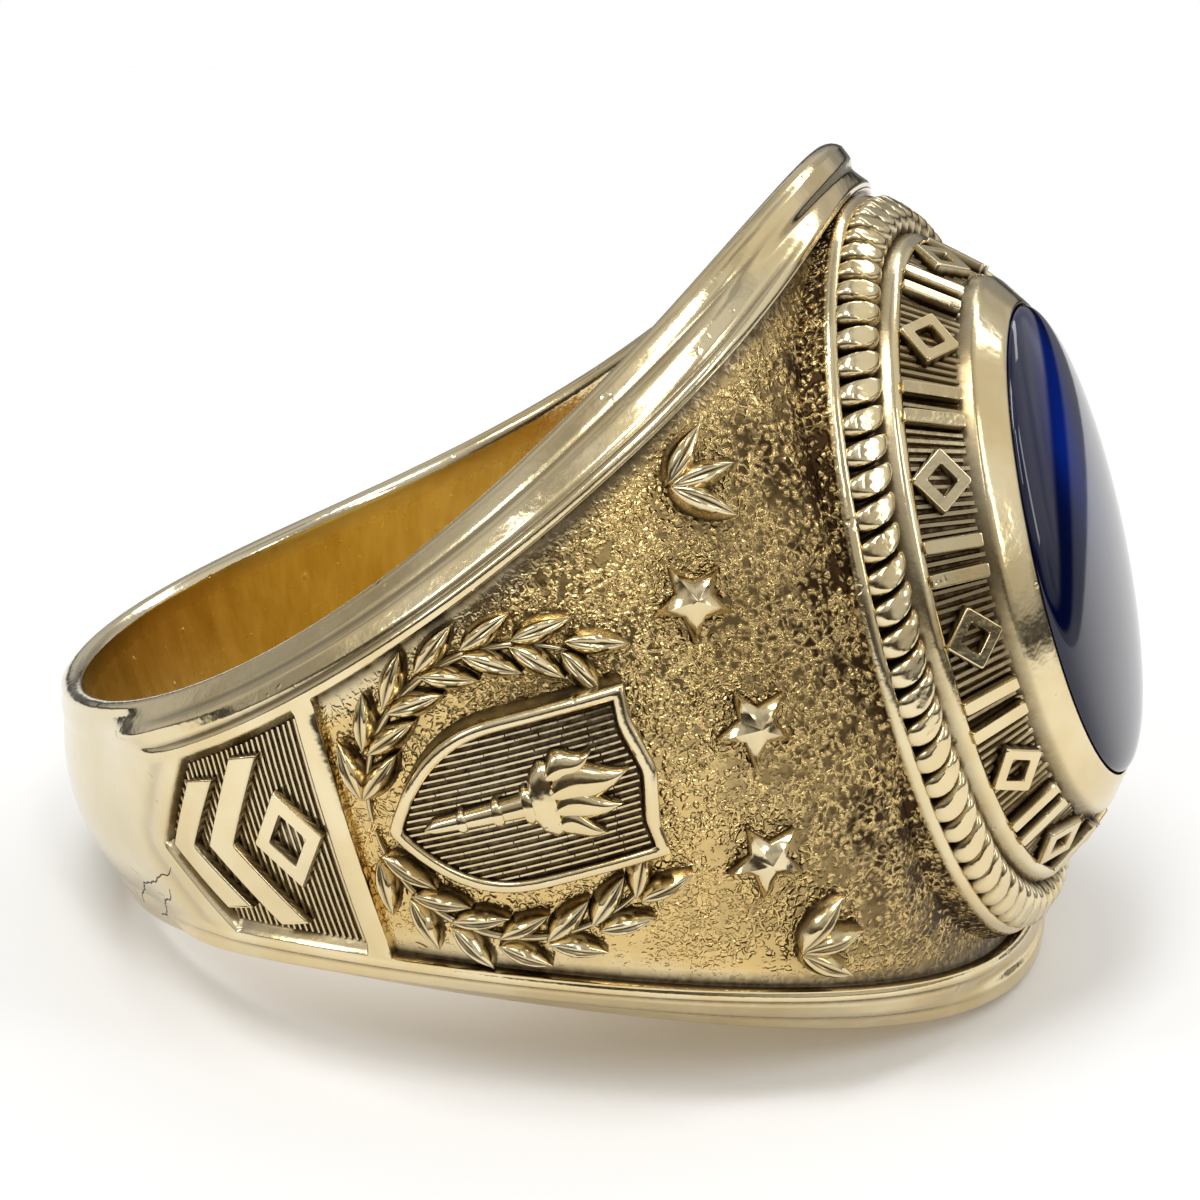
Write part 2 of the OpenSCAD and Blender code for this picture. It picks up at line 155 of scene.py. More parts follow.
@dataclass(frozen=True)
class RingSizes:
    """Driving sizes of the ring in millimetres and degrees, as the solid model has them."""

    hole_r: float = 10.0
    back_half_w: float = 2.6
    head_half_w: float = 10.0
    flare: float = 2.2
    back_wall: float = 0.9
    shoulder_rise: float = 2.45
    shoulder_at: float = 36.0
    shoulder_fall: float = 40.0
    head_edge_r: float = 0.45
    back_edge_r: float = 0.3
    border_w: float = 1.2
    panel_depth: float = 0.3
    main_end: float = 90.0
    bar_deg: float = 2.4
    point_start: float = 108.5
    point_end: float = 116.5
    panel_deg: float = 0.2077
    oval_slim: float = 0.8
    rope_a: float = 8.68
    rope_x: float = 11.0
    rim_a: float = 7.54
    rim_x: float = 12.1
    bezel_a: float = 6.27
    bezel_x: float = 13.5
    seat_x: float = 13.98
    band_cut: float = 0.22
    stone_a: float = 5.49
    dome_h: float = 0.85
    stone_depth: float = 1.5
    seat_gap: float = 0.03

    def half_w(self, t: Array | float) -> Array:
        """Half width of the band at angle t from the head."""
        return self.back_half_w + (self.head_half_w - self.back_half_w) * ((1 + cosd(t)) / 2) ** self.flare

    def edge_r(self, t: Array | float) -> Array:
        """Radius of the band's rounded edge at angle t."""
        return mix(self.back_edge_r, self.head_edge_r, (1 + cosd(t)) / 2)

    def border_r(self, t: Array | float) -> Array:
        """Radius of the polished border where it meets a panel."""
        rise = 0.95 * ease(0, 50, t) - 0.3 * ease(60, 112, t)
        return self.hole_r + 0.9 + rise - (1.75 - self.back_wall) * ease(108, 132, t)

    def mid_r(self, t: Array | float) -> Array:
        """Radius of the outer face halfway across the band.

        Args:
            t: angle from the head in degrees.

        Returns:
            The radius in millimetres.
        """
        t, top = np.asarray(t, float), self.shoulder_at
        near_head = (np.minimum(t, top) / top) ** 1.3
        shoulder = np.where(t < top, near_head, np.exp((top - t) / self.shoulder_fall))
        back = self.hole_r + self.back_wall
        return back + self.shoulder_rise * shoulder + self.panel_depth * ease(132, 108, t)

    def panel_w(self, t: Array | float) -> Array:
        """Half width of the area inside the borders."""
        return self.half_w(t) - self.border_w * mix(1, 0.7, ease(112, 126, t))

    def face_r(self, t: Array | float, z: Array | float) -> Array:
        """Outer radius at the level of the border, crowned across the band."""
        share = z / self.panel_w(t)
        return self.border_r(t) + (self.mid_r(t) - self.border_r(t)) * (1 - share * share)

    def ground_r(self, t: Array | float, z: Array | float) -> Array:
        """Radius of the sunk ground on which the relief stands."""
        return self.face_r(t, z) - self.panel_depth

    def lean(self) -> float:
        """Angle at which the ring rests on the edges of its head and its back.

        Returns:
            The lean of the finger axis in degrees.
        """
        run = 2 * self.hole_r + self.head_edge_r + self.back_edge_r
        rise = (self.head_half_w - self.head_edge_r) - (self.back_half_w - self.back_edge_r)
        roll = math.asin((self.head_edge_r - self.back_edge_r) / math.hypot(run, rise))
        return math.degrees(math.atan2(rise, run) + roll)

    def rest_z(self) -> float:
        """Height of the finger axis above the table, halfway across the band."""
        low = (self.head_half_w - self.head_edge_r) * cosd(self.lean())
        return float(low - (self.hole_r + self.head_edge_r) * sind(self.lean()) + self.head_edge_r)

    def seat_a(self) -> float:
        """Half length of the hole that holds the stone."""
        return self.stone_a + self.seat_gap


@dataclass
class Placement:
    """Takes the ring's own millimetres to the row's frame, tipped onto its edge."""

    sizes: RingSizes
    front: float
    centre_x: float = field(init=False)

    def __post_init__(self) -> None:
        """Works out the shift that puts the tipped ring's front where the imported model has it."""
        s = self.sizes
        reach = s.seat_x * cosd(s.lean()) + s.seat_a() * sind(s.lean())
        self.centre_x = float(reach - self.front / MM)

    def matrix(self) -> Matrix:
        """How a point of the ring is placed on the table.

        Returns:
            The matrix from the ring's millimetres to metres in the row's frame.
        """
        turn = Matrix.Rotation(-math.radians(self.sizes.lean()), 4, "Y")
        move = Matrix.Translation(Vector((-self.centre_x, 0, self.sizes.rest_z())))
        return Matrix.Scale(MM, 4) @ move @ turn


@dataclass
class Shape:
    """A mesh in the making: points, faces and the marks at each point, a column for each Mark."""

    points: Array
    faces: list[tuple[int, ...]]
    marks: Array

    @staticmethod
    def join(parts: Sequence["Shape"]) -> "Shape":
        """One shape that holds all the parts.

        Args:
            parts: the shapes to gather.

        Returns:
            The gathered shape.
        """
        faces: list[tuple[int, ...]] = []
        start = 0
        for part in parts:
            faces += [tuple(i + start for i in f) for f in part.faces]
            start += len(part.points)
        return Shape(
            np.concatenate([p.points for p in parts]), faces, np.concatenate([p.marks for p in parts])
        )

    def turned(self) -> "Shape":
        """The same shape with its faces the other way round."""
        return Shape(self.points, [f[::-1] for f in self.faces], self.marks)

    def mesh(self, name: str) -> bpy.types.Mesh:
        """Makes the Blender mesh, smooth, with its attributes.

        Args:
            name: the mesh's name.

        Returns:
            The mesh, in the units of the points.
        """
        made = bpy.data.meshes.new(name)
        made.from_pydata(self.points.tolist(), [], self.faces)
        for column, mark in enumerate(Mark):
            kept = made.attributes.new(mark.value, "FLOAT", "POINT")
            kept.data.foreach_set("value", np.ascontiguousarray(self.marks[:, column], np.float32))
        made.polygons.foreach_set("use_smooth", np.ones(len(made.polygons), bool))
        made.set_sharp_from_angle(angle=math.radians(SHARP_DEG))
        made.update()
        return made


def marks(
    grime: Array | float, stipple: Array | float = 0.0, inside: Array | float = 0.0, glow: Array | float = 0.0
) -> Array:
    """The marks side by side, one column for each Mark."""
    return np.stack(np.broadcast_arrays(grime, stipple, inside, glow), axis=-1).astype(float)


def grid_shape(points: Array, kept: Array, wrap_rows: bool = False, wrap_cols: bool = True) -> Shape:
    """A net of points: the first index goes round, the second runs along.

    Args:
        points: columns by rows by 3.
        kept: columns by rows by the number of marks.
        wrap_rows: whether the last row joins the first.
        wrap_cols: whether the last column joins the first.

    Returns:
        The shape, of squares.
    """
    cols, rows = points.shape[:2]
    i, j = np.meshgrid(
        np.arange(cols if wrap_cols else cols - 1), np.arange(rows if wrap_rows else rows - 1), indexing="ij"
    )
    i2, j2 = (i + 1) % cols, (j + 1) % rows
    quads = np.stack([i * rows + j, i * rows + j2, i2 * rows + j2, i2 * rows + j], axis=-1)
    faces = [tuple(q) for q in quads.reshape(-1, 4).tolist()]
    return Shape(points.reshape(-1, 3), faces, kept.reshape(-1, kept.shape[-1]))


def capped_rings(
    levels: Sequence[Array], grime: Sequence[float], stipple: Sequence[float] = (0.0,), paired: bool = False
) -> Shape:
    """A closed solid through rings of points, with a cap at each end.

    Args:
        levels: rings of the same length, anticlockwise seen from the last one's side.
        grime: how dark each ring is, from patina and from painted shade.
        stipple: how rough each ring is.
        paired: whether each ring runs up one side of a strip and back down the other, so that its caps
            are squares between the two sides.

    Returns:
        The shape, its faces outwards.
    """
    count, size = len(levels), len(levels[0])
    net = np.stack(levels, axis=1)
    kept = marks(*(np.broadcast_to(np.asarray(v, float), (size, count)) for v in (grime, stipple)))
    shape = grid_shape(net, kept).turned()
    cap = [tuple(range(size))]
    if paired:
        cap = [(k, k + 1, size - 2 - k, size - 1 - k) for k in range(size // 2 - 1)]
    first = [tuple(i * count for i in face)[::-1] for face in cap]
    last = [tuple(i * count + count - 1 for i in face) for face in cap]
    return Shape(shape.points, [*shape.faces, *first, *last], shape.marks)


@dataclass(frozen=True)
class GoldFinish:
    """Worn yellow gold, darkened by patina wherever polishing doesn't reach, and by painted shade along some
    grooves.
    """

    skin: Skin = Skin.PLAIN
    polished: Colour = (0.72, 0.575, 0.315)
    pale: Colour = (0.80, 0.68, 0.43)
    dark: Colour = (0.045, 0.024, 0.010)
    ochre: Colour = (0.75, 0.53, 0.205)
    shank: Colour = (0.68, 0.605, 0.42)
    inside: Colour = (0.66, 0.44, 0.085)
    inside_pale: Colour = (0.88, 0.66, 0.20)
    roughness: float = 0.135
    pit_scale: float = 4800.0
    grain_scale: float = 5600.0
    wander: float = 0.00024
    relief: float = 0.00004

    def material(self) -> bpy.types.Material:
        """Builds the gold's node tree.

        Returns:
            The material.
        """
        made = bpy.data.materials.new(self.skin.value)
        made.use_nodes = True
        tree = Nodes(made.node_tree)
        shader = tree.shader()
        place = tree.add("ShaderNodeTexCoord").outputs["Object"]
        grime = tree.attribute(Mark.GRIME.value)

        broad = tree.noise(place, 420, 3, 0.55)
        fine = tree.noise(place, 5200, 4, 0.6)
        tone = tree.blend(tree.rgb(self.polished), tree.rgb(self.pale), tree.ramp(broad, 0.35, 0.65))
        parts = tree.add("ShaderNodeSeparateXYZ")
        tree.link(place, parts.inputs[0])
        behind = tree.math("MULTIPLY", tree.ramp(parts.outputs["X"], -0.004, -0.0105), 0.85)
        tone = tree.blend(tone, tree.rgb(self.shank), behind)
        # Darkening from patina in the hollows and from painted shade along some grooves, as the mesh marks
        # it.
        darkness = tree.math("MULTIPLY", grime, tree.math("MULTIPLY_ADD", fine, 0.5, 0.75))
        height = tree.math("MULTIPLY", tree.noise(place, 800, 4, 0.6), 0.6)
        nicks = tree.ramp(tree.noise(place, 1700, 2, 0.5), 0.69, 0.76)
        height = tree.math("MULTIPLY_ADD", nicks, -0.35, height)
        rough = tree.math("MULTIPLY_ADD", fine, 0.14, self.roughness - 0.07)

        if self.skin is Skin.HOLE:
            inside = tree.attribute(Mark.INSIDE.value)
            tone = tree.blend(tone, self._worn_in(tree, place), inside)
            rough = tree.math("MULTIPLY_ADD", inside, 0.16, rough)
        if self.skin is Skin.GROUND:
            stipple, ridges = tree.attribute(Mark.STIPPLE.value), self._ridges(tree, place)
            pits = tree.math("MULTIPLY", stipple, tree.math("SUBTRACT", 1.0, ridges))
            blotch = tree.ramp(tree.noise(place, 700, 3, 0.6), 0.35, 0.65)
            etched = tree.math("MULTIPLY", tree.ramp(stipple, 0.0, 0.4), 0.85)
            tone = tree.blend(tone, tree.rgb(self.ochre), etched)
            depth = tree.math("MULTIPLY_ADD", grime, 0.6, tree.math("MULTIPLY_ADD", blotch, 0.25, 0.1))
            worn = tree.math("MULTIPLY", stipple, tree.math("MULTIPLY", ridges, 0.75))
            darkness = tree.math("MULTIPLY", darkness, tree.math("SUBTRACT", 1.0, worn))
            darkness = tree.math("ADD", darkness, tree.math("MULTIPLY", pits, depth))
            height = tree.math("MULTIPLY_ADD", pits, -1.6, height)

        darkness = tree.clamp(darkness)
        tree.link(tree.blend(tone, tree.rgb(self.dark), darkness), shader.inputs["Base Color"])
        tree.link(tree.math("MULTIPLY_ADD", darkness, 0.3, rough), shader.inputs["Roughness"])
        shader.inputs["Metallic"].default_value = 1.0
        tree.link(tree.bump(height, self.relief), shader.inputs["Normal"])
        return made

    def _worn_in(self, tree: "Nodes", place: bpy.types.NodeSocket) -> bpy.types.NodeSocket:
        """The yellower gold of the finger hole, streaked along the finger.

        Args:
            tree: the material's nodes.
            place: where it is read.

        Returns:
            The colour.
        """
        drawn = tree.add("ShaderNodeVectorMath")
        drawn.operation = "MULTIPLY"
        tree.link(place, drawn.inputs[0])
        drawn.inputs[1].default_value = (1.0, 1.0, 0.16)
        streaks = tree.ramp(tree.noise(drawn.outputs[0], 1300, 3, 0.6), 0.25, 0.75)
        return tree.blend(tree.rgb(self.inside), tree.rgb(self.inside_pale), streaks)

    def _ridges(self, tree: "Nodes", place: bpy.types.NodeSocket) -> bpy.types.NodeSocket:
        """Grains and broken, wandering ridges between the stipple's pits, 1 on top and 0 in a pit.

        Args:
            tree: the material's nodes.
            place: where it is read.

        Returns:
            The pattern.
        """
        warp = tree.add("ShaderNodeTexNoise")
        tree.link(place, warp.inputs["Vector"])
        warp.inputs["Scale"].default_value = 4200
        warp.inputs["Detail"].default_value = 2
        shift = tree.add("ShaderNodeVectorMath")
        shift.operation = "MULTIPLY_ADD"
        tree.link(warp.outputs["Color"], shift.inputs[0])
        shift.inputs[1].default_value = (self.wander,) * 3
        tree.link(place, shift.inputs[2])
        edge = tree.voronoi(shift.outputs[0], self.pit_scale, "DISTANCE_TO_EDGE")
        line = tree.math("SUBTRACT", 1.0, tree.ramp(edge, 0.03, 0.24))
        breaks = tree.ramp(tree.noise(place, 3100, 3, 0.65), 0.36, 0.56)
        line = tree.math("MULTIPLY", line, tree.math("MULTIPLY_ADD", breaks, 0.85, 0.15))
        spot = tree.voronoi(shift.outputs[0], self.grain_scale, "F1")
        grain = tree.math("SUBTRACT", 1.0, tree.ramp(spot, 0.18, 0.62))
        kind = tree.ramp(tree.noise(place, 1100, 2, 0.5), 0.38, 0.56)
        return tree.math("MAXIMUM", tree.math("MULTIPLY", line, kind), tree.math("MULTIPLY", grain, 0.85))


@dataclass(frozen=True)
class StoneFinish:
    """Polished deep blue synthetic stone, with painted blue light: a bright streak and a faint halo painted
    into its colour.
    """

    name: str = "blue_stone"
    colour: Colour = (0.0003, 0.0010, 0.0075)
    streak: Colour = (0.0004, 0.020, 0.26)
    ior: float = 1.55

    def material(self) -> bpy.types.Material:
        """Builds the stone's node tree.

        Returns:
            The material.
        """
        made = bpy.data.materials.new(self.name)
        made.use_nodes = True
        tree = Nodes(made.node_tree)
        shader = tree.shader()
        place = tree.add("ShaderNodeTexCoord").outputs["Object"]
        # Painted light: the bright blue streak and halo are painted into the stone's colour, not lit.
        blue = tree.blend(tree.rgb(self.colour), tree.rgb(self.streak), tree.attribute(Mark.GLOW.value))
        tree.link(blue, shader.inputs["Base Color"])
        scuffs = tree.noise(place, 3800, 4, 0.6)
        tree.link(tree.math("MULTIPLY_ADD", scuffs, 0.08, 0.02), shader.inputs["Roughness"])
        shader.inputs["IOR"].default_value = self.ior
        return made


@dataclass(frozen=True)
class FloorFinish:
    """Matt white table top."""

    name: str = "table_top"
    colour: Colour = (0.93, 0.93, 0.93)

    def material(self) -> bpy.types.Material:
        """Builds the table top's material.

        Returns:
            The material.
        """
        made = bpy.data.materials.new(self.name)
        made.use_nodes = True
        shader = Nodes(made.node_tree).shader()
        shader.inputs["Base Color"].default_value = (*self.colour, 1)
        shader.inputs["Roughness"].default_value = 0.9
        shader.inputs["Specular IOR Level"].default_value = 0.1
        return made


class Nodes:
    """Short words for the nodes of one material."""

    def __init__(self, tree: bpy.types.NodeTree) -> None:
        """Keeps the material's node tree."""
        self.tree = tree

    def add(self, kind: str) -> bpy.types.Node:
        """Adds one node."""
        return self.tree.nodes.new(kind)

    def link(self, source: bpy.types.NodeSocket, target: bpy.types.NodeSocket) -> None:
        """Joins an output to an input."""
        self.tree.links.new(source, target)

    def shader(self) -> bpy.types.Node:
        """The material's surface shader."""
        return self.tree.nodes["Principled BSDF"]

    def put(self, socket: bpy.types.NodeSocket, value: bpy.types.NodeSocket | float) -> None:
        """Sets an input to a number, or links an output to it.

        Args:
            socket: the input.
            value: the number or the output.
        """
        if isinstance(value, bpy.types.NodeSocket):
            self.link(value, socket)
        else:
            socket.default_value = value

    def rgb(self, colour: Colour) -> bpy.types.NodeSocket:
        """A fixed colour.

        Args:
            colour: red, green and blue, linear.

        Returns:
            The colour's output.
        """
        node = self.add("ShaderNodeRGB")
        node.outputs[0].default_value = (*colour, 1)
        return node.outputs[0]

    def attribute(self, name: str) -> bpy.types.NodeSocket:
        """A number kept at the mesh's points.

        Args:
            name: the attribute's name.

        Returns:
            The number's output.
        """
        node = self.add("ShaderNodeAttribute")
        node.attribute_name = name
        return node.outputs["Fac"]

    def math(self, kind: str, *values: bpy.types.NodeSocket | float) -> bpy.types.NodeSocket:
        """Arithmetic on up to three numbers.

        Args:
            kind: the operation.
            values: the numbers or outputs that it works on.

        Returns:
            The result's output.
        """
        node = self.add("ShaderNodeMath")
        node.operation = kind
        for socket, value in zip(node.inputs, values):
            self.put(socket, value)
        return node.outputs[0]

    def clamp(self, value: bpy.types.NodeSocket) -> bpy.types.NodeSocket:
        """Keeps a value from 0 to 1.

        Args:
            value: what may go past either end.

        Returns:
            The value, cut off at both ends.
        """
        node = self.add("ShaderNodeClamp")
        self.link(value, node.inputs["Value"])
        return node.outputs[0]

    def ramp(self, value: bpy.types.NodeSocket, low: float, high: float) -> bpy.types.NodeSocket:
        """Eased step of a value.

        Args:
            value: what it depends on.
            low: where the step starts, above or below high.
            high: where it ends.

        Returns:
            The step's output, 0 at low and 1 at high.
        """
        node = self.add("ShaderNodeMapRange")
        node.interpolation_type = "SMOOTHSTEP"
        self.link(value, node.inputs["Value"])
        node.inputs["From Min"].default_value = low
        node.inputs["From Max"].default_value = high
        return node.outputs["Result"]

    def noise(
        self, place: bpy.types.NodeSocket, scale: float, detail: float, rough: float
    ) -> bpy.types.NodeSocket:
        """Cloudy noise.

        Args:
            place: where it is read.
            scale: features a metre.
            detail: octaves of finer noise.
            rough: how strong the finer noise is.

        Returns:
            The noise's output, from 0 to 1.
        """
        node = self.add("ShaderNodeTexNoise")
        self.link(place, node.inputs["Vector"])
        node.inputs["Scale"].default_value = scale
        node.inputs["Detail"].default_value = detail
        node.inputs["Roughness"].default_value = rough
        return node.outputs["Fac"]

    def voronoi(self, place: bpy.types.NodeSocket, scale: float, kind: str) -> bpy.types.NodeSocket:
        """Distances in a pattern of irregular cells.

        Args:
            place: where it is read.
            scale: cells a metre.
            kind: which distance, to a cell's middle or to its edge.

        Returns:
            The distance's output, in cells.
        """
        node = self.add("ShaderNodeTexVoronoi")
        node.feature = kind
        self.link(place, node.inputs["Vector"])
        node.inputs["Scale"].default_value = scale
        return node.outputs["Distance"]

    def blend(
        self, a: bpy.types.NodeSocket, b: bpy.types.NodeSocket, share: bpy.types.NodeSocket
    ) -> bpy.types.NodeSocket:
        """Turns one colour into another by a share.

        Args:
            a: the colour at share 0.
            b: the colour at share 1.
            share: how far it is turned.

        Returns:
            The colour's output.
        """
        node = self.add("ShaderNodeMix")
        node.data_type = "RGBA"
        self.link(share, node.inputs[0])
        self.link(a, node.inputs[6])
        self.link(b, node.inputs[7])
        return node.outputs[2]

    def bump(self, height: bpy.types.NodeSocket, distance: float) -> bpy.types.NodeSocket:
        """Normals tilted by a height.

        Args:
            height: how high the surface stands.
            distance: the height's unit in metres.

        Returns:
            The normal's output.
        """
        node = self.add("ShaderNodeBump")
        node.inputs["Strength"].default_value = 1.0
        node.inputs["Distance"].default_value = distance
        self.link(height, node.inputs["Height"])
        return node.outputs["Normal"]


@dataclass
class Stamps:
    """Places for one repeated shape, in the ring's millimetres."""

    at: Array
    out: Array
    along: Array
    stretch: Array


class Repeater:
    """A Geometry Nodes tree that sets one shape at many places, each with its own way up and stretch."""

    def __init__(self) -> None:
        """Builds the tree once, for all the repeated shapes."""
        tree = bpy.data.node_groups.new("stamp_at_places", "GeometryNodeTree")
        self.tree = tree
        self.sockets: dict[str, str] = {}
        tree.interface.new_socket("Geometry", in_out="OUTPUT", socket_type="NodeSocketGeometry")
        for name, kind in (
            ("Places", "NodeSocketGeometry"),
            ("Shape", "NodeSocketObject"),
            ("Unevenness", "NodeSocketFloat"),
            ("Tilt", "NodeSocketFloat"),
            ("Seed", "NodeSocketInt"),
            ("Finish", "NodeSocketMaterial"),
        ):
            self.sockets[name] = tree.interface.new_socket(name, in_out="INPUT", socket_type=kind).identifier
        self._wire()

    def _named(self, name: str) -> bpy.types.NodeSocket:
        """A vector kept at the places.

        Args:
            name: the attribute's name.

        Returns:
            The vector's output.
        """
        node = self.tree.nodes.new("GeometryNodeInputNamedAttribute")
        node.data_type = "FLOAT_VECTOR"
        node.inputs["Name"].default_value = name
        return node.outputs["Attribute"]

    def _random(self, given: bpy.types.Node, spread: str, centre: float, step: int) -> bpy.types.NodeSocket:
        """A random number for each place.

        Args:
            given: the tree's inputs.
            spread: which input says how far the numbers reach from their centre.
            centre: the middle of their range.
            step: what keeps these numbers apart from others with the same seed.

        Returns:
            The number's output.
        """
        nodes, links = self.tree.nodes, self.tree.links
        low, high = nodes.new("ShaderNodeMath"), nodes.new("ShaderNodeMath")
        low.operation, high.operation = "SUBTRACT", "ADD"
        low.inputs[0].default_value = high.inputs[0].default_value = centre
        links.new(given.outputs[spread], low.inputs[1])
        links.new(given.outputs[spread], high.inputs[1])
        seed = nodes.new("ShaderNodeMath")
        seed.inputs[1].default_value = step
        links.new(given.outputs["Seed"], seed.inputs[0])
        pick = nodes.new("FunctionNodeRandomValue")
        pick.data_type = "FLOAT"
        links.new(low.outputs[0], pick.inputs[2])
        links.new(high.outputs[0], pick.inputs[3])
        links.new(seed.outputs[0], pick.inputs["Seed"])
        return pick.outputs[1]

    def _wire(self) -> None:
        """Adds and joins the tree's nodes."""
        nodes, links = self.tree.nodes, self.tree.links
        given, made = nodes.new("NodeGroupInput"), nodes.new("NodeGroupOutput")
        shape = nodes.new("GeometryNodeObjectInfo")
        links.new(given.outputs["Shape"], shape.inputs["Object"])
        way = nodes.new("FunctionNodeAxesToRotation")
        way.primary_axis, way.secondary_axis = "Z", "X"
        links.new(self._named("out"), way.inputs["Primary Axis"])
        links.new(self._named("along"), way.inputs["Secondary Axis"])
        lean = nodes.new("ShaderNodeCombineXYZ")
        links.new(self._random(given, "Tilt", 0.0, 7), lean.inputs["Z"])
        tilt = nodes.new("FunctionNodeRotateRotation")
        tilt.rotation_space = "LOCAL"
        turn = nodes.new("FunctionNodeEulerToRotation")
        links.new(lean.outputs[0], turn.inputs[0])
        links.new(way.outputs[0], tilt.inputs[0])
        links.new(turn.outputs[0], tilt.inputs[1])
        grow = nodes.new("ShaderNodeVectorMath")
        grow.operation = "SCALE"
        links.new(self._named("stretch"), grow.inputs[0])
        links.new(self._random(given, "Unevenness", 1.0, 3), grow.inputs["Scale"])
        place = nodes.new("GeometryNodeInstanceOnPoints")
        links.new(given.outputs["Places"], place.inputs["Points"])
        links.new(shape.outputs["Geometry"], place.inputs["Instance"])
        links.new(tilt.outputs[0], place.inputs["Rotation"])
        links.new(grow.outputs[0], place.inputs["Scale"])
        real = nodes.new("GeometryNodeRealizeInstances")
        paint = nodes.new("GeometryNodeSetMaterial")
        links.new(place.outputs["Instances"], real.inputs[0])
        links.new(real.outputs[0], paint.inputs["Geometry"])
        links.new(given.outputs["Finish"], paint.inputs["Material"])
        links.new(paint.outputs[0], made.inputs[0])

    def stamp(
        self, name: str, shape: Shape, places: Stamps, finish: bpy.types.Material, uneven: float = 0.0,
        tilt: float = 0.0, seed: int = 1,
    ) -> bpy.types.Mesh:
        """Sets a shape at every place and returns the plain mesh.

        Args:
            name: the mesh's name.
            shape: the repeated shape, with z outwards and x along.
            places: where it goes.
            finish: its material.
            uneven: how far the size of each varies, as a share.
            tilt: how far each is turned about its own z, in radians.
            seed: what fixes the variation.

        Returns:
            The mesh, in the ring's millimetres.
        """
        carrier_mesh = bpy.data.meshes.new(name + "_places")
        carrier_mesh.from_pydata(places.at.tolist(), [], [])
        for label, values in (("out", places.out), ("along", places.along), ("stretch", places.stretch)):
            kept = carrier_mesh.attributes.new(label, "FLOAT_VECTOR", "POINT")
            kept.data.foreach_set("vector", np.asarray(values, np.float32).reshape(-1))
        carrier = bpy.data.objects.new(name + "_places", carrier_mesh)
        single = bpy.data.objects.new(name + "_shape", shape.mesh(name + "_shape"))
        for thing in (carrier, single):
            bpy.context.scene.collection.objects.link(thing)
        modifier = carrier.modifiers.new("stamp", "NODES")
        modifier.node_group = self.tree
        given = {"Shape": single, "Unevenness": uneven, "Tilt": tilt, "Seed": seed, "Finish": finish}
        for label, value in given.items():
            modifier[self.sockets[label]] = value
        graph = bpy.context.evaluated_depsgraph_get()
        made = bpy.data.meshes.new_from_object(carrier.evaluated_get(graph))
        made.name = name
        carrier.modifiers.clear()
        for thing in (carrier, single):
            bpy.data.objects.remove(thing)
        return made


class Workshop:
    """Turns shapes into finished pieces of the ring."""

    def __init__(self, placement: Placement) -> None:
        """Keeps where the ring lies, and makes its gold.

        Args:
            placement: how the ring lies on the table.
        """
        self.placement = placement
        self.gold = {skin: GoldFinish(skin).material() for skin in Skin}
        self.repeater = Repeater()

    def finish_piece(
        self, mesh: bpy.types.Mesh, material: bpy.types.Material, stands_for: str
    ) -> bpy.types.Object:
        """Moves a mesh from the ring's millimetres to the row's frame and makes it a piece.

        Args:
            mesh: the mesh in the ring's millimetres.
            material: its finish.
            stands_for: the solid that it replaces.

        Returns:
            The piece.
        """
        mesh.transform(self.placement.matrix())
        mesh.materials.clear()
        mesh.materials.append(material)
        piece = bpy.data.objects.new(mesh.name, mesh)
        bpy.context.scene.collection.objects.link(piece)
        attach(piece, BODY)
        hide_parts(stands_for)
        LOG.info("%s: %d faces", piece.name, len(mesh.polygons))
        return piece

    def gold_piece(self, name: str, shape: Shape) -> bpy.types.Object:
        """A finished piece of the casting from one shape.

        Args:
            name: the piece's name.
            shape: its shape, whose marks say which faces are stippled ground or lie in the finger hole.

        Returns:
            The piece.
        """
        mesh = shape.mesh(name)
        corners, starts = np.empty(len(mesh.loops), np.int32), np.empty(len(mesh.polygons), np.int32)
        mesh.loops.foreach_get("vertex_index", corners)
        mesh.polygons.foreach_get("loop_start", starts)
        order = list(Mark)
        marked = np.maximum.reduceat(shape.marks[corners], starts) > 0
        ground, hole = (marked[:, order.index(mark)] for mark in (Mark.STIPPLE, Mark.INSIDE))
        piece = self.finish_piece(mesh, self.gold[Skin.PLAIN], "ring_body")
        if (ground | hole).any():
            mesh.materials.append(self.gold[Skin.GROUND])
            mesh.materials.append(self.gold[Skin.HOLE])
            worn = np.where(ground, 1, np.where(hole, 2, 0)).astype(np.int32)
            mesh.polygons.foreach_set("material_index", worn)
        return piece

    def gold_stamps(
        self, name: str, shape: Shape, places: Stamps, uneven: float = 0.0, tilt: float = 0.0, seed: int = 1
    ) -> bpy.types.Object:
        """A finished piece of the casting that repeats one shape.

        Args:
            name: the piece's name.
            shape: what is repeated.
            places: where, and how each one is turned and stretched.
            uneven: how far the size of each varies, as a share.
            tilt: how far each is turned about its own z, in radians.
            seed: what fixes the variation.

        Returns:
            The piece.
        """
        plain = self.gold[Skin.PLAIN]
        mesh = self.repeater.stamp(name, shape, places, plain, uneven, tilt, seed)
        return self.finish_piece(mesh, plain, "ring_body")


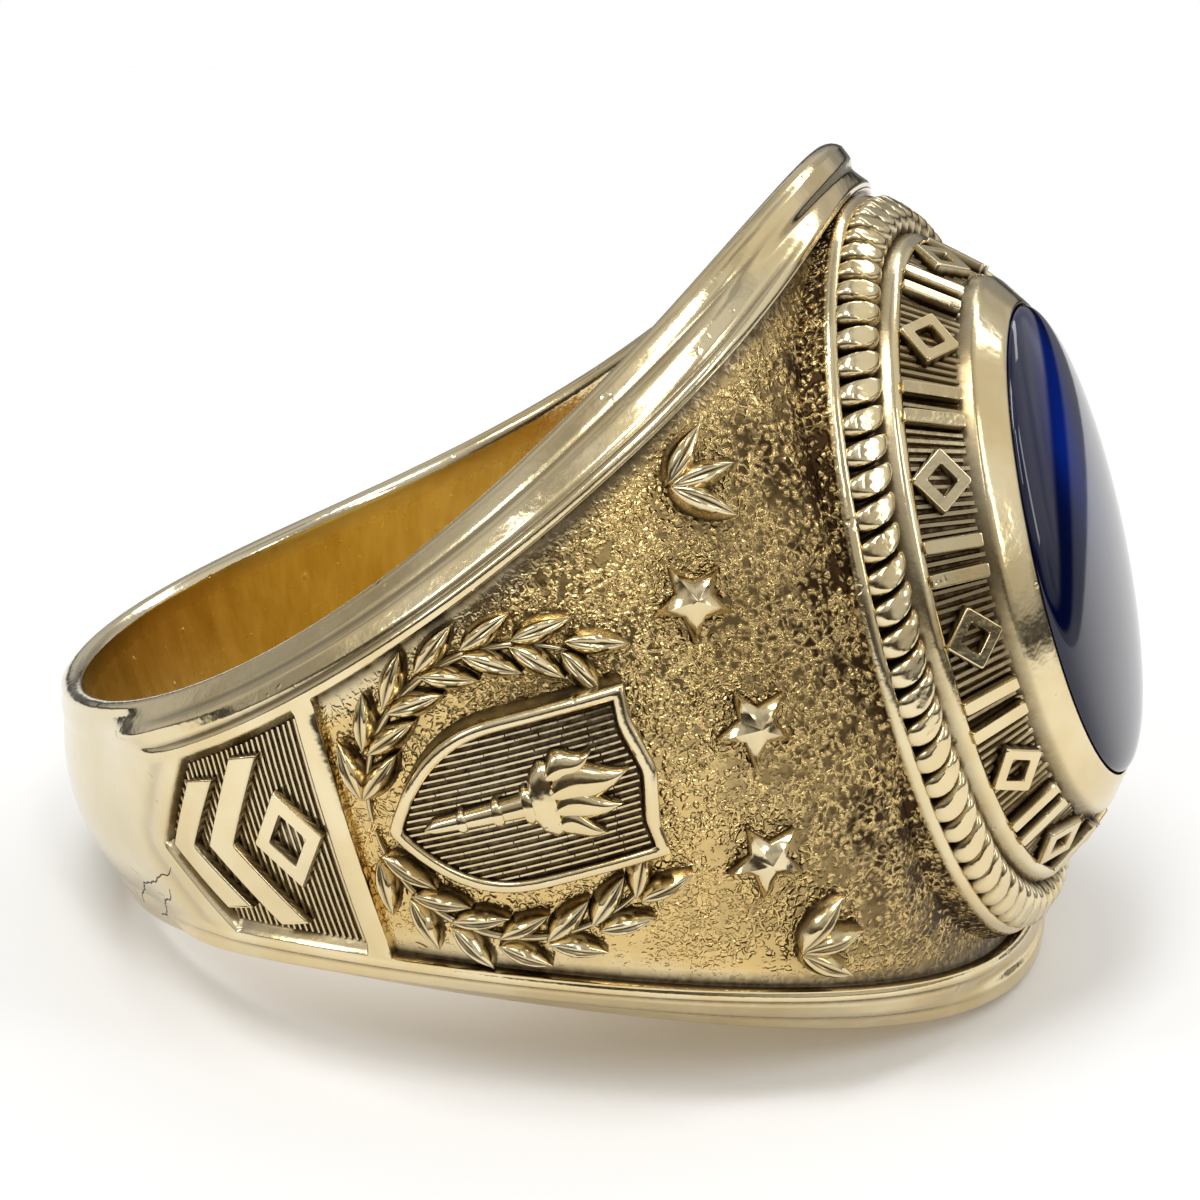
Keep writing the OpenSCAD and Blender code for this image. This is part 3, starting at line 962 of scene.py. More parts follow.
@dataclass
class Panel:
    """The curved ground of one side panel, with coordinates of its own.

    x runs across the band, y from the middle of the shield towards the stone, and h stands on the ground.
    """

    sizes: RingSizes
    side: Side
    at: float

    def angle(self, y: Array | float) -> Array:
        """Angle from the head of the place y."""
        return self.at - np.asarray(y, float) / self.sizes.panel_deg

    def point(self, x: Array, y: Array, h: Array | float) -> Array:
        """Points of the relief in the ring's millimetres.

        Args:
            x: places across the band.
            y: places towards the stone.
            h: heights above the ground.

        Returns:
            The points, one a row.
        """
        x = np.asarray(x, float)
        t = self.angle(y)
        r = self.sizes.ground_r(t, x) + h
        return np.stack([r * cosd(t), -self.side.value * r * sind(t), x + 0 * t], axis=-1)

    def frame(self, x: Array, y: Array, turn: Array, h: float, stretch: Array) -> Stamps:
        """Places for a repeated shape on the panel.

        Args:
            x: places across the band.
            y: places towards the stone.
            turn: for each, the angle in degrees from x to the shape's own x.
            h: height of the shape's foot.
            stretch: each shape's stretch along its three axes.

        Returns:
            The places.
        """
        x, y, turn = (np.asarray(v, float) for v in (x, y, turn))
        step = 0.02
        at = self.point(x, y, h)
        across = unit(self.point(x + step, y, h) - at)
        up = unit(self.point(x, y + step, h) - at)
        out = unit(np.cross(across, up)) * -self.side.value
        along = across * cosd(turn)[:, None] + up * sind(turn)[:, None]
        return Stamps(at, out, along, stretch)


@dataclass
class Band:
    """The shank with its flared head, rounded borders and sunk panels."""

    sizes: RingSizes
    arc_rows: int = 10
    border_rows: int = 44
    flush_rows: int = 12
    ground_rows: int = 18
    hole_rows: int = 9
    wall_run: float = 0.11
    pointed_wall: float = 0.26
    bar_crown: float = 0.08
    frame_groove: float = 0.045
    frame_w: float = 0.62
    # Painted shade: how dark the groove round the pointed panel's tip is painted.
    painted_groove_shade: float = 0.2
    column_deg: float = 0.75
    crest_line: float = 0.36
    inner_line: float = 0.3
    line_width: float = 0.05
    line_depth: float = 0.05
    wall_deg: float = 0.28
    tip_deg: float = 0.8
    tail_deg: float = 18.0
    lip: float = 0.02
    tip_half: float = 0.05
    main_steps: tuple[Place, ...] = ((0.18, 0.1), (0.36, 0.5), (0.55, 0.9), (1.0, 1.0))
    pointed_steps: tuple[Place, ...] = ((0.1, 0.05), (0.4, 0.38), (0.7, 0.72), (1.0, 1.0))

    def columns(self) -> Array:
        """Angles of the columns on one half of the ring, closer together where a panel ends.

        Returns:
            The angles from the head in degrees, in order.
        """
        s = self.sizes
        even = np.arange(0, 180 + 1e-6, self.column_deg)
        ends = np.array([s.main_end - self.wall_deg, s.main_end + s.bar_deg])
        walls = (ends[:, None] + np.arange(-0.08, 0.4, 0.08)).ravel()
        tip = np.arange(s.point_end - 1.2, s.point_end + 0.6, 0.15)
        every = np.sort(np.concatenate([even, walls, tip]))
        return every[np.concatenate([[True], np.diff(every) > 0.03])]

    def opening(self, t: Array) -> Array:
        """Half width of the sunk part.

        Args:
            t: angles from the head in degrees.

        Returns:
            The half width at each, in millimetres.
        """
        s = self.sizes
        full = s.panel_w(t) - self.lip
        share = np.clip((s.point_end - t) / (s.point_end - s.point_start), 0, 1)
        behind = 0.6 * full * ease(s.point_end, s.point_end + self.tail_deg, t)
        pointed = (s.panel_w(s.point_start) - self.lip) * share + self.tip_half + behind
        return np.where(t <= s.point_start, full, pointed)

    def depth(self, t: Array) -> Array:
        """How far the ground lies below the border.

        Args:
            t: angles from the head in degrees.

        Returns:
            The depth at each, in millimetres.
        """
        s = self.sizes
        main = ease(s.main_end, s.main_end - self.wall_deg, t)
        start = s.main_end + s.bar_deg
        pointed = ease(start, start + self.wall_deg, t) * ease(s.point_end, s.point_end - self.tip_deg, t)
        return s.panel_depth * np.maximum(main, pointed)

    def border(self, t: float) -> Array:
        """The rounded edge and border at angle t.

        Args:
            t: angle from the head in degrees.

        Returns:
            For each point, how far it is outside the finger hole and below the edge, and how dark it is, with
            painted dark reflection lines along the grooves.
        """
        s = self.sizes
        e = float(s.edge_r(t))
        width = float(s.half_w(t) - s.panel_w(t))
        out = float(s.border_r(t)) - s.hole_r
        turn = np.linspace(180, 45, self.arc_rows)
        arc = np.stack([e + e * cosd(turn), e - e * sind(turn)], axis=1)
        head = [[2 * e, e], [2 * e - 0.05, e + 0.25], [out + 0.05, width - 0.12], [out, width - 0.04]]
        side = [[0.98, 0.34], [1.3, 0.5], [out - 0.12, width - 0.3], [out + 0.03, width - 0.16]]
        back = [[2 * e - 0.06, 0.7 * e], [out - 0.04, width * 0.6], [out - 0.02, width * 0.75]]
        back.append([out - 0.01, width * 0.9])
        near = mix(np.array(head), np.array(side), ease(12, 42, t))
        fan = mix(near, np.array(back), ease(110, 126, t))
        strip = resample(np.concatenate([arc[-1:], fan, [[out, width]]]), self.border_rows, 4)
        below = strip[:, 1]
        beside = ease(14, 34, t) * ease(120, 104, t)
        inner = np.exp(-((((width - below) - self.inner_line) / self.line_width) ** 2)) * beside
        crest = np.exp(-(((below - self.crest_line) / self.line_width) ** 2)) * beside
        cut = self.line_depth * (inner + 0.6 * crest)
        run = unit(np.gradient(strip, axis=0))
        strip = strip + np.stack([-run[:, 1], run[:, 0]], axis=1) * cut[:, None]
        # Painted reflection: the dark lines along the border's two shallow grooves stand for the dark lines
        # that the polished border mirrors.
        grime = 0.75 * inner + 0.5 * crest
        both = np.concatenate([arc[:-1], strip])
        return np.column_stack([both, np.concatenate([np.zeros(len(arc) - 1), grime])])

    def groove(self, t: float, z: Array) -> Array:
        """Depth of the soft groove that frames the point of the pointed panel.

        Args:
            t: angle from the head in degrees.
            z: places across the band.

        Returns:
            The depth at each place.
        """
        s = self.sizes
        start = np.array([s.point_start * s.panel_deg, float(s.panel_w(s.point_start))])
        end = np.array([s.point_end * s.panel_deg, 0.0])
        here = np.column_stack([np.full(len(z), t * s.panel_deg), z])
        share = np.clip(((here - start) @ (end - start)) / ((end - start) @ (end - start)), 0, 1)
        gap = here - start - share[:, None] * (end - start)
        outside = (gap[:, 0] > 0) | (gap[:, 1] > 0)
        far = np.linalg.norm(gap, axis=1)
        return self.frame_groove * np.exp(-(((far - self.frame_w) / 0.2) ** 2)) * outside

    def section(self, t: float) -> tuple[Array, Array]:
        """The outer half section at angle t, from the finger hole's edge to the middle of the band.

        Args:
            t: angle from the head in degrees.

        Returns:
            Radius and height of each point, and its marks.
        """
        s = self.sizes
        edge = self.border(t)
        w, pw, drop = float(s.half_w(t)), float(self.opening(np.array(t))), float(self.depth(np.array(t)))
        full = float(s.panel_w(t))
        sunk = drop / s.panel_depth
        border = np.column_stack([s.hole_r + edge[:, 0], w - edge[:, 1]])
        flush = np.linspace(full, pw, self.flush_rows + 1)[1:]
        main = float(t < s.main_end + s.bar_deg / 2)
        run = self.wall_run if main else self.pointed_wall
        wall = np.array(self.main_steps if main else self.pointed_steps)
        wall[:, 0] *= run
        ground = np.linspace(max(pw - run, 0.001), 0, self.ground_rows)[1:]
        z = np.concatenate([flush, np.maximum(pw - wall[:, 0], 0.001), ground])
        fall = np.concatenate([np.zeros(len(flush)), wall[:, 1], np.ones(len(ground))])
        r = s.face_r(t, z) - drop * fall
        off_bar = min(abs(t - s.main_end - s.bar_deg / 2) / (s.bar_deg / 2), 1.3)
        if off_bar < 1.3:
            r = r - self.bar_crown * min(off_bar, 1) ** 2 * (1 - sunk) * ease(0, 0.25, pw - z)
        r = r - self.groove(t, z) * ease(full, full - 0.35, z)
        crown = np.column_stack([r, z])
        by_head = ease(6.5, 11.0, r * cosd(t))
        smooth = 0.4 + 0.6 * ease(4.5, 8.5, r * cosd(t))
        foot = np.exp(-((pw - run - z) / 0.16) ** 2) * (fall > 0.9)
        even = 0.03 + 0.5 * by_head if main else 0.85 * np.ones(len(z))
        side = (0.85 if main else 0.5) * (fall > 0.3) * (fall < 1)
        grime = sunk * np.maximum(fall * even, 0.9 * foot + side)
        # Painted shade: the soft groove round the pointed panel's tip is darkened so that it shows on the
        # polished gold.
        grime = np.maximum(grime, self.painted_groove_shade * self.groove(t, z) / self.frame_groove)
        points = np.concatenate([border, crown])
        kept = np.concatenate([
            marks(edge[:, 2], 0.0, np.zeros(len(edge))),
            marks(grime, main * sunk * smooth * (fall > 0.9) * ease(-0.1, 1.0, pw - run - z)),
        ])
        return points, kept

    def shape(self) -> Shape:
        """The whole band as one closed tube.

        Returns:
            The shape.
        """
        half = self.columns()
        angles = np.concatenate([half, 360 - half[-2:0:-1]])
        sections = {}
        for t in half:
            sections[round(float(t), 6)] = self.section(float(t))
        columns, kept = [], []
        for angle in angles:
            points, own = sections[round(float(min(angle, 360 - angle)), 6)]
            lower = points[-2::-1] * [1, -1]
            hole = np.column_stack([
                np.full(self.hole_rows, self.sizes.hole_r),
                np.linspace(lower[-1, 1], points[0, 1], self.hole_rows + 2)[1:-1],
            ])
            ring = np.concatenate([points, lower, hole])
            columns.append(np.column_stack([ring[:, 0] * cosd(angle), ring[:, 0] * sind(angle), ring[:, 1]]))
            kept.append(np.concatenate([own, own[-2::-1], marks(np.zeros(self.hole_rows), 0.0, 1.0)]))
        return grid_shape(np.stack(columns), np.stack(kept), wrap_rows=True)

    def build(self, shop: Workshop) -> None:
        """Makes the band."""
        shop.gold_piece("band", self.shape())


@dataclass
class Cracks:
    """Hairline cracks in the shank beside the point of the near panel."""

    band: Band
    half_w: float = 0.024
    proud: float = 0.003
    sunk: float = 0.05
    count: int = 44
    lines: tuple[Outline, ...] = (
        ((116.9, -0.62), (118.3, -0.84), (120.1, -0.86), (122.6, -1.12), (125.8, -1.27), (128.4, -1.38),
         (131.0, -1.68), (134.3, -1.94), (135.4, -2.22)),
        ((119.4, -1.22), (120.5, -1.52), (122.9, -1.62), (125.3, -1.92), (127.2, -2.24), (130.4, -2.36)),
    )

    def strand(self, line: Outline) -> Shape:
        """A dark line sunk in the surface.

        Args:
            line: angle from the head and place across the band of its corners.

        Returns:
            The shape.
        """
        deg = self.band.sizes.panel_deg
        path = resample(np.array([(t * deg, z) for t, z in line]), self.count, 1)
        wander = np.arange(self.count)
        path[:, 1] += 0.018 * np.sin(wander * 1.3) + 0.012 * np.sin(wander * 3.1)
        angles = path[:, 0] / deg
        radii = []
        for t, z in zip(angles, path[:, 1]):
            points, _ = self.band.section(float(t))
            radii.append(np.interp(abs(z), points[::-1, 1], points[::-1, 0]))
        out = np.column_stack([cosd(angles), -sind(angles), 0 * angles])
        at = out * np.array(radii)[:, None] + np.column_stack([0 * angles, 0 * angles, path[:, 1]])
        side = unit(np.cross(out, np.gradient(at, axis=0)))
        half = self.half_w * np.sin(np.pi * np.linspace(0.06, 0.94, self.count)) ** 0.6
        rings = []
        for k in range(self.count):
            edge = side[k] * half[k]
            level = at[k] + out[k] * self.proud
            crown, root = level + out[k] * 0.002, at[k] - out[k] * self.sunk
            rings.append(np.array([level + edge, crown, level - edge, root]))
        return capped_rings(rings, np.ones(self.count))

    def build(self, shop: Workshop) -> None:
        """Makes the cracks."""
        shop.gold_piece("shank_cracks", Shape.join([self.strand(line) for line in self.lines]))


@dataclass
class Oval:
    """Places round the head's ovals, whose long axis runs along the finger."""

    sizes: RingSizes

    def point(self, x: Array | float, a: Array | float, turn: Array) -> Array:
        """The point at height x of the oval with half length a, at the angle turn."""
        x, a = np.asarray(x, float) + 0 * turn, np.asarray(a, float) + 0 * turn
        return np.stack([x, (a - self.sizes.oval_slim) * cosd(turn), a * sind(turn)], axis=-1)

    def even(self, a: float, count: int, shift: float = 0.0) -> Array:
        """Angles of places spaced evenly along an oval.

        Args:
            a: the oval's half length.
            count: how many places.
            shift: how far they are moved along, in spaces.

        Returns:
            The angles in degrees.
        """
        turn = np.linspace(0, 360, 2881)
        line = self.point(0.0, a, turn)
        along = np.concatenate([[0], np.cumsum(np.linalg.norm(np.diff(line, axis=0), axis=1))])
        want = (np.arange(count) + shift) / count * along[-1]
        return np.interp(want, along, turn)

    def stamps(self, outer: Place, inner: Place, turn: Array, run: float = 1.0, lift: float = 0.0) -> Stamps:
        """Places halfway up the sloping face between two ovals.

        Args:
            outer: height and half length of the outer oval.
            inner: the same of the inner one.
            turn: angles of the places.
            run: each shape's stretch along its own x.
            lift: how far the shape's foot stands off the face.

        Returns:
            The places, with x from the outer oval to the inner one.
        """
        low, high = self.point(*outer, turn), self.point(*inner, turn)
        across = unit(high - low)
        tangent = unit(self.point(outer[0], outer[1], turn + 0.2) - low)
        out = unit(np.cross(across, tangent))
        out *= np.sign(out[:, :1])
        at = (low + high) / 2 + out * lift
        return Stamps(at, out, across, np.ones(at.shape) * [run, 1, 1])


@dataclass
class Head:
    """The oval head: rail, groove, rim, ornament band, bezel and the seat of the stone."""

    sizes: RingSizes
    rows: int = 150
    columns: int = 400

    def profile(self) -> Array:
        """The head's section, from its buried base to the seat's floor.

        Returns:
            Height, half length, patina darkness and stipple of each point.
        """
        s = self.sizes
        line = np.array([
            [10.2, s.rope_a + 0.12, 0.6, 1],
            [s.rope_x - 0.22, s.rope_a + 0.07, 0.55, 1],
            [s.rope_x - 0.14, s.rope_a + 0.07, 0.6, 0.3],
            [s.rope_x - 0.05, s.rope_a + 0.05, 0.1, 0],
            [s.rope_x + 0.07, s.rope_a - 0.01, 0.0, 0],
            [s.rope_x + 0.12, s.rope_a - 0.1, 0.1, 0],
            [s.rope_x + 0.02, s.rope_a - 0.24, 1, 0],
            [s.rope_x + 0.1, s.rope_a - 0.42, 1, 0],
            [s.rope_x + 0.3, s.rope_a - 0.66, 1, 0],
            [s.rope_x + 0.44, s.rope_a - 0.9, 1, 0],
            [s.rope_x + 0.5, s.rope_a - 1.0, 0.9, 0],
            [s.rim_x - 0.3, s.rim_a + 0.1, 0.5, 0],
            [s.rim_x - 0.13, s.rim_a + 0.05, 0.15, 0],
            [s.rim_x - 0.05, s.rim_a - 0.01, 0.0, 0],
            [s.rim_x + 0.02, s.rim_a - 0.14, 0.0, 0],
            [s.rim_x + 0.02, s.rim_a - 0.2, 0.1, 0],
            [s.rim_x - s.band_cut + 0.02, s.rim_a - 0.27, 0.95, 0],
            [s.bezel_x - s.band_cut - 0.24, s.bezel_a + 0.12, 0.95, 0],
            [s.bezel_x - 0.1, s.bezel_a + 0.04, 0.4, 0],
            [s.bezel_x, s.bezel_a - 0.05, 0.0, 0],
            [s.seat_x - 0.03, s.seat_a() + 0.11, 0.0, 0],
            [s.seat_x, s.seat_a() + 0.03, 0.0, 0],
            [s.seat_x - 0.06, s.seat_a() - 0.005, 0.6, 0],
            [s.seat_x - s.stone_depth - 0.1, s.seat_a() - 0.5, 0.9, 0],
        ])
        return resample(line, self.rows, 1)

    def shape(self) -> Shape:
        """The head as one closed solid.

        Returns:
            The shape.
        """
        oval = Oval(self.sizes)
        turn = np.linspace(0, 360, self.columns, endpoint=False)
        line = self.profile()
        rings = [oval.point(x, a, turn) for x, a, _, _ in line]
        return capped_rings(rings, line[:, 2], line[:, 3])

    def build(self, shop: Workshop) -> None:
        """Makes the head."""
        shop.gold_piece("head", self.shape())


@dataclass
class Rope:
    """The rope border: slanted strands over a half-round, worn flat along their crests."""

    sizes: RingSizes
    strands: int = 74
    length: float = 1.2
    width: float = 0.63
    rise: float = 0.36
    slant: float = 0.4
    curl: float = 0.32
    round_off: float = 0.24
    worn: float = 0.8

    def strand(self) -> Shape:
        """One strand: x across the border, y along it, z outwards.

        Returns:
            The shape.
        """
        rings = []
        turn = np.linspace(0, 360, 28, endpoint=False)
        sizes = (1, 1, 0.97, 0.9, 0.78, 0.6, 0.35, 0.06)
        heights = (-0.9, -0.1, 0.35, 0.62, 0.82, 0.94, 1, 1.02)
        for size, height in zip(sizes, heights):
            x = 0.5 * self.length * size * np.sign(cosd(turn)) * np.abs(cosd(turn)) ** 0.75
            y = 0.5 * self.width * size * np.sign(sind(turn)) * np.abs(sind(turn)) ** 0.8
            z = self.rise * height - self.round_off * (2 * x / self.length) ** 2
            z = np.minimum(z, self.rise * self.worn)
            rings.append(np.stack([x, y + self.slant * x + self.curl * x * x, z], axis=1))
        return capped_rings(rings, (1, 1, 0.8, 0.35, 0.05, 0, 0, 0))

    def build(self, shop: Workshop) -> None:
        """Makes the strands all round the head.

        Args:
            shop: what finishes them.
        """
        s = self.sizes
        oval = Oval(s)
        turn = oval.even(s.rope_a - 0.6, self.strands)
        outer, inner = (s.rope_x + 0.04, s.rope_a - 0.12), (s.rim_x - 0.34, s.rim_a + 0.28)
        places = oval.stamps(outer, inner, turn)
        shop.gold_stamps("rope_strands", self.strand(), places, uneven=0.03, tilt=0.05, seed=5)


@dataclass
class OrnamentBand:
    """The band between rope and bezel: lozenges and pairs of bars on a hatched ground."""

    sizes: RingSizes
    motifs: int = 24
    hatch_lines: int = 204
    bar_share: float = 0.19

    def faces(self) -> tuple[tuple[float, float], tuple[float, float]]:
        """Height and half length of the band's outer and inner edges."""
        s = self.sizes
        return (s.rim_x - s.band_cut + 0.08, s.rim_a - 0.28), (s.bezel_x - s.band_cut - 0.2, s.bezel_a + 0.1)

    def lozenge(self) -> Shape:
        """A raised lozenge with a sunk middle.

        Returns:
            The shape.
        """
        corner = [(0.72, 0), (0, 0.74), (-0.72, 0), (0, -0.74)]
        line = rounded(corner, 0.84, 8)
        outside = ((1.04, -0.15), (1.0, 0.09), (0.98, 0.24), (0.94, 0.285), (0.91, 0.29), (0.89, 0.29))
        middle = ((0.54, 0.29), (0.52, 0.29), (0.48, 0.26), (0.45, 0.05), (0.1, 0.04))
        rings = [plate_ring(line, size, h) for size, h in (*outside, *middle)]
        return capped_rings(rings, (1, 1, 0.4, 0, 0, 0, 0, 0, 0.4, 1, 1))

    def bar(self) -> Shape:
        """One raised bar with rounded ends.

        Returns:
            The shape.
        """
        line = rounded([(0.7, 0.17), (-0.7, 0.17), (-0.7, -0.17), (0.7, -0.17)], 0.8, 4)
        steps = ((1, 1.04, -0.15), (1, 1, 0.1), (0.99, 0.95, 0.24), (0.975, 0.86, 0.285), (0.96, 0.74, 0.29),
                 (0.95, 0.68, 0.29))
        rings = [np.column_stack([line * (a, b), np.full(len(line), h)]) for a, b, h in steps]
        return capped_rings(rings, (1, 1, 0.4, 0, 0, 0))

    def ridge(self, half: float = 0.04, top: float = 0.07, grime: float = 0.15) -> Shape:
        """One line of hatching, 1 mm long.

        Args:
            half: its half width.
            top: its height.
            grime: how dark its top is, from patina.

        Returns:
            The shape.
        """
        line = [(0.5, half), (-0.5, half), (-0.5, -half), (0.5, -half)]
        rings = [np.array([(x, y * k, h) for x, y in line]) for k, h in ((1.3, -0.05), (0.6, top))]
        return capped_rings(rings, (1, grime))

    def build(self, shop: Workshop) -> None:
        """Makes the motifs and the hatching.

        Args:
            shop: what finishes them.
        """
        oval, (outer, inner) = Oval(self.sizes), self.faces()
        even = oval.even(outer[1] - 0.4, self.motifs)
        places = oval.stamps(outer, inner, even[::2])
        shop.gold_stamps("band_lozenges", self.lozenge(), places, 0.02, 0.03, 2)
        gap = 360 / self.motifs * self.bar_share
        places = oval.stamps(outer, inner, np.concatenate([even[1::2] - gap, even[1::2] + gap]))
        shop.gold_stamps("band_bars", self.bar(), places, 0.02, 0.03, 3)
        lines = oval.even(outer[1] - 0.4, self.hatch_lines, 0.5)
        places = oval.stamps(outer, inner, lines, math.dist(outer, inner))
        shop.gold_stamps("band_hatching", self.ridge(0.065, 0.06, 0.5), places, 0.1, 0.02, 4)


def rounded(corners: Outline, keep: float, steps: int) -> Array:
    """A closed outline whose corners are cut to curves.

    Args:
        corners: the corners, anticlockwise.
        keep: share of each side that stays straight.
        steps: points on each rounded corner.

    Returns:
        The outline's points.
    """
    c = np.asarray(corners, float)
    before, after = np.roll(c, 1, axis=0), np.roll(c, -1, axis=0)
    cut = (1 - keep) / 2
    out = []
    for p, a, b in zip(c, before, after):
        start, end = mix(p, a, cut), mix(p, b, cut)
        for t in np.linspace(0, 1, steps):
            out.append((1 - t) ** 2 * start + 2 * t * (1 - t) * p + t**2 * end)
    return np.array(out)


def plate_ring(outline: Array, size: float, height: float) -> Array:
    """The outline scaled about its origin at a height."""
    return np.column_stack([outline * size, np.full(len(outline), height)])


def inset(outline: Array, distance: float) -> Array:
    """An anticlockwise outline moved inwards by a distance.

    Args:
        outline: its points.
        distance: how far inwards; negative moves outwards.

    Returns:
        The moved points.
    """
    ahead = unit(np.roll(outline, -1, axis=0) - outline)
    behind = unit(outline - np.roll(outline, 1, axis=0))
    normal = unit(np.column_stack([-(ahead + behind)[:, 1], (ahead + behind)[:, 0]]))
    open_up = np.clip((normal * np.column_stack([-ahead[:, 1], ahead[:, 0]])).sum(axis=1), 0.5, 1)
    return outline + normal * (distance / open_up)[:, None]


@dataclass
class Figures:
    """Raised work that follows the curve of one panel."""

    panel: Panel

    def solid(self, rings: Sequence[tuple[Array, float, float]], paired: bool = False) -> Shape:
        """A solid through outlines at their heights above the ground.

        Args:
            rings: outline, height and patina darkness of each level, lowest first.
            paired: whether each outline runs up one side of a strip and back down the other.

        Returns:
            The shape, its faces outwards.
        """
        levels = [self.panel.point(line[:, 0], line[:, 1], h) for line, h, _ in rings]
        shape = capped_rings(levels, [g for _, _, g in rings], paired=paired)
        return shape.turned() if self.panel.side is Side.NEAR else shape

    def strip(self, outline: Array, top: float, edge: float) -> Shape:
        """A flat-topped strip with rounded edges.

        Args:
            outline: its outline, anticlockwise, up one side and back down the other.
            top: height of its top.
            edge: how far the rounding reaches in.

        Returns:
            The shape.
        """
        return self.solid([
            (inset(outline, -0.03), -0.3, 1.0),
            (outline, 0.02, 1.0),
            (outline, top - edge, 0.35),
            (inset(outline, 0.3 * edge), top - 0.3 * edge, 0.05),
            (inset(outline, edge), top, 0.0),
            (inset(outline, 1.5 * edge), top, 0.0),
        ], paired=True)


@dataclass
class Crest:
    """A heater shield that carries a torch."""

    figures: Figures
    half_w: float = 1.9
    up: float = 2.4
    down: float = 2.9
    rise: float = 0.8
    rim_w: float = 0.27
    field_drop: float = 0.18
    torch_rise: float = 0.42
    line_step: float = 0.15

    def outline(self) -> Array:
        """The shield's outline, anticlockwise from its right corner.

        Returns:
            Its points.
        """
        v = np.linspace(0.02, 1, 14)
        side = self.half_w * (1 - v**2.6)
        top = [(self.half_w, self.up), (0.62 * self.half_w, self.up - 0.06), (0, self.up + 0.15),
               (-0.62 * self.half_w, self.up - 0.06), (-self.half_w, self.up)]
        left = [(-a, -self.down * b) for a, b in zip(side, v)]
        right = [(a, -self.down * b) for a, b in zip(side[-2::-1], v[-2::-1])]
        return resample(np.array([*top, *left, *right, top[0]]), 97)[:-1]

    def shrunk(self, depth: float) -> Array:
        """The shield's outline drawn in by a depth, with its corners kept."""
        return self.outline() * (1 - 0.52 * depth, 1 - 0.41 * depth) - (0, 0.049 * depth)

    def shield(self) -> Shape:
        """The shield, with a rounded rim round a sunk field.

        Returns:
            The shape.
        """
        rim, top, low = self.rim_w, self.rise, self.rise - self.field_drop
        levels = (
            (-0.09, -0.3, 1.0), (-0.06, 0.03, 1.0), (-0.01, top - 0.16, 0.35), (0.02, top - 0.06, 0.05),
            (0.07, top - 0.01, 0.0), (0.12, top, 0.0), (rim - 0.08, top, 0.0), (rim - 0.02, top - 0.03, 0.1),
            (rim, top - 0.09, 0.8), (rim + 0.02, low, 1.0), (rim + 0.12, low, 0.95), (1.2, low, 0.9),
            (1.8, low, 0.9),
        )
        return self.figures.solid([(self.shrunk(depth), h, grime) for depth, h, grime in levels])

    def ridged(self, y: Array, middle: Array, half: Array, more: float) -> Shape:
        """A figure that rises to a ridge along its middle, on the shield's field.

        Args:
            y: places up the figure.
            middle: where the middle lies across the shield at each.
            half: half width at each.
            more: extra height.

        Returns:
            The shape.
        """
        base, high = self.rise - self.field_drop, self.torch_rise + more
        rings = []
        steps = ((1, -0.15, 1), (1, 0.02, 1), (0.96, 0.45, 0.4), (0.8, 0.78, 0), (0.5, 0.93, 0), (0.06, 1, 0))
        for k, h, grime in steps:
            right = np.column_stack([middle + half * k, y])
            left = np.column_stack([middle - half * k, y])[::-1]
            rings.append((np.concatenate([right, left]), base + high * h, grime))
        return self.figures.solid(rings, paired=True)

    def handle(self) -> list[Shape]:
        """The torch's tapered handle, its collars and its cup.

        Returns:
            The three parts' shapes.
        """
        y = np.linspace(-2.05, 0.05, 24)
        made = [self.ridged(y, 0 * y, np.interp(y, [-2.05, -1.92, 0.05], [0.04, 0.16, 0.27]), 0.0)]
        for low, high, half in ((-1.38, -1.22, 0.27), (-0.68, -0.5, 0.32), (-0.08, 0.1, 0.44)):
            y = np.linspace(low, high, 8)
            made.append(self.ridged(y, 0 * y, half * np.sin(np.linspace(0.5, 2.64, 8)) ** 0.3, 0.06))
        y = np.linspace(0.06, 0.54, 12)
        cup = np.interp(y, [0.06, 0.2, 0.42, 0.54], [0.34, 0.68, 0.86, 0.82])
        made.append(self.ridged(y, 0 * y, cup, 0.04))
        return made

    def flames(self) -> list[Shape]:
        """Tongues of flame above the cup.

        Returns:
            Their shapes.
        """
        made = []
        tongues = (
            (-0.56, -0.36, 0.85, 0.36),
            (0.54, 0.32, 0.95, 0.36),
            (-0.2, -0.2, 1.25, 0.42),
            (0.16, 0.12, 1.52, 0.48),
        )
        for x, lean, tall, wide in tongues:
            v = np.linspace(0, 1, 16)
            half = wide * np.sin(np.pi * np.clip(v, 0.02, 0.985) ** 0.6)
            middle = x + lean * v**2 + 0.07 * np.sin(2 * np.pi * v)
            made.append(self.ridged(0.48 + tall * v, middle, half, 0.05 * tall))
        return made

    def field_lines(self) -> Stamps:
        """Places of the fine upright lines cut into the field.

        Returns:
            The places, several to a line.
        """
        x, y, run = [], [], []
        edge = self.shrunk(self.rim_w + 0.04)
        for across in np.arange(-1.5, 1.51, self.line_step):
            hits = edge[np.abs(edge[:, 0] - across) < 0.09][:, 1]
            low, high = hits.min(), hits.max()
            count = max(1, round((high - low) / 0.5))
            for k in range(count):
                x.append(across)
                y.append(low + (k + 0.5) * (high - low) / count)
                run.append((high - low) / count * 1.03)
        stretch = np.column_stack([run, np.full(len(run), 0.9), np.full(len(run), 0.8)])
        return self.figures.panel.frame(x, y, np.full(len(x), 90.0), self.rise - self.field_drop, stretch)

    def build(self) -> Shape:
        """The whole crest as one shape."""
        return Shape.join([self.shield(), *self.handle(), *self.flames()])


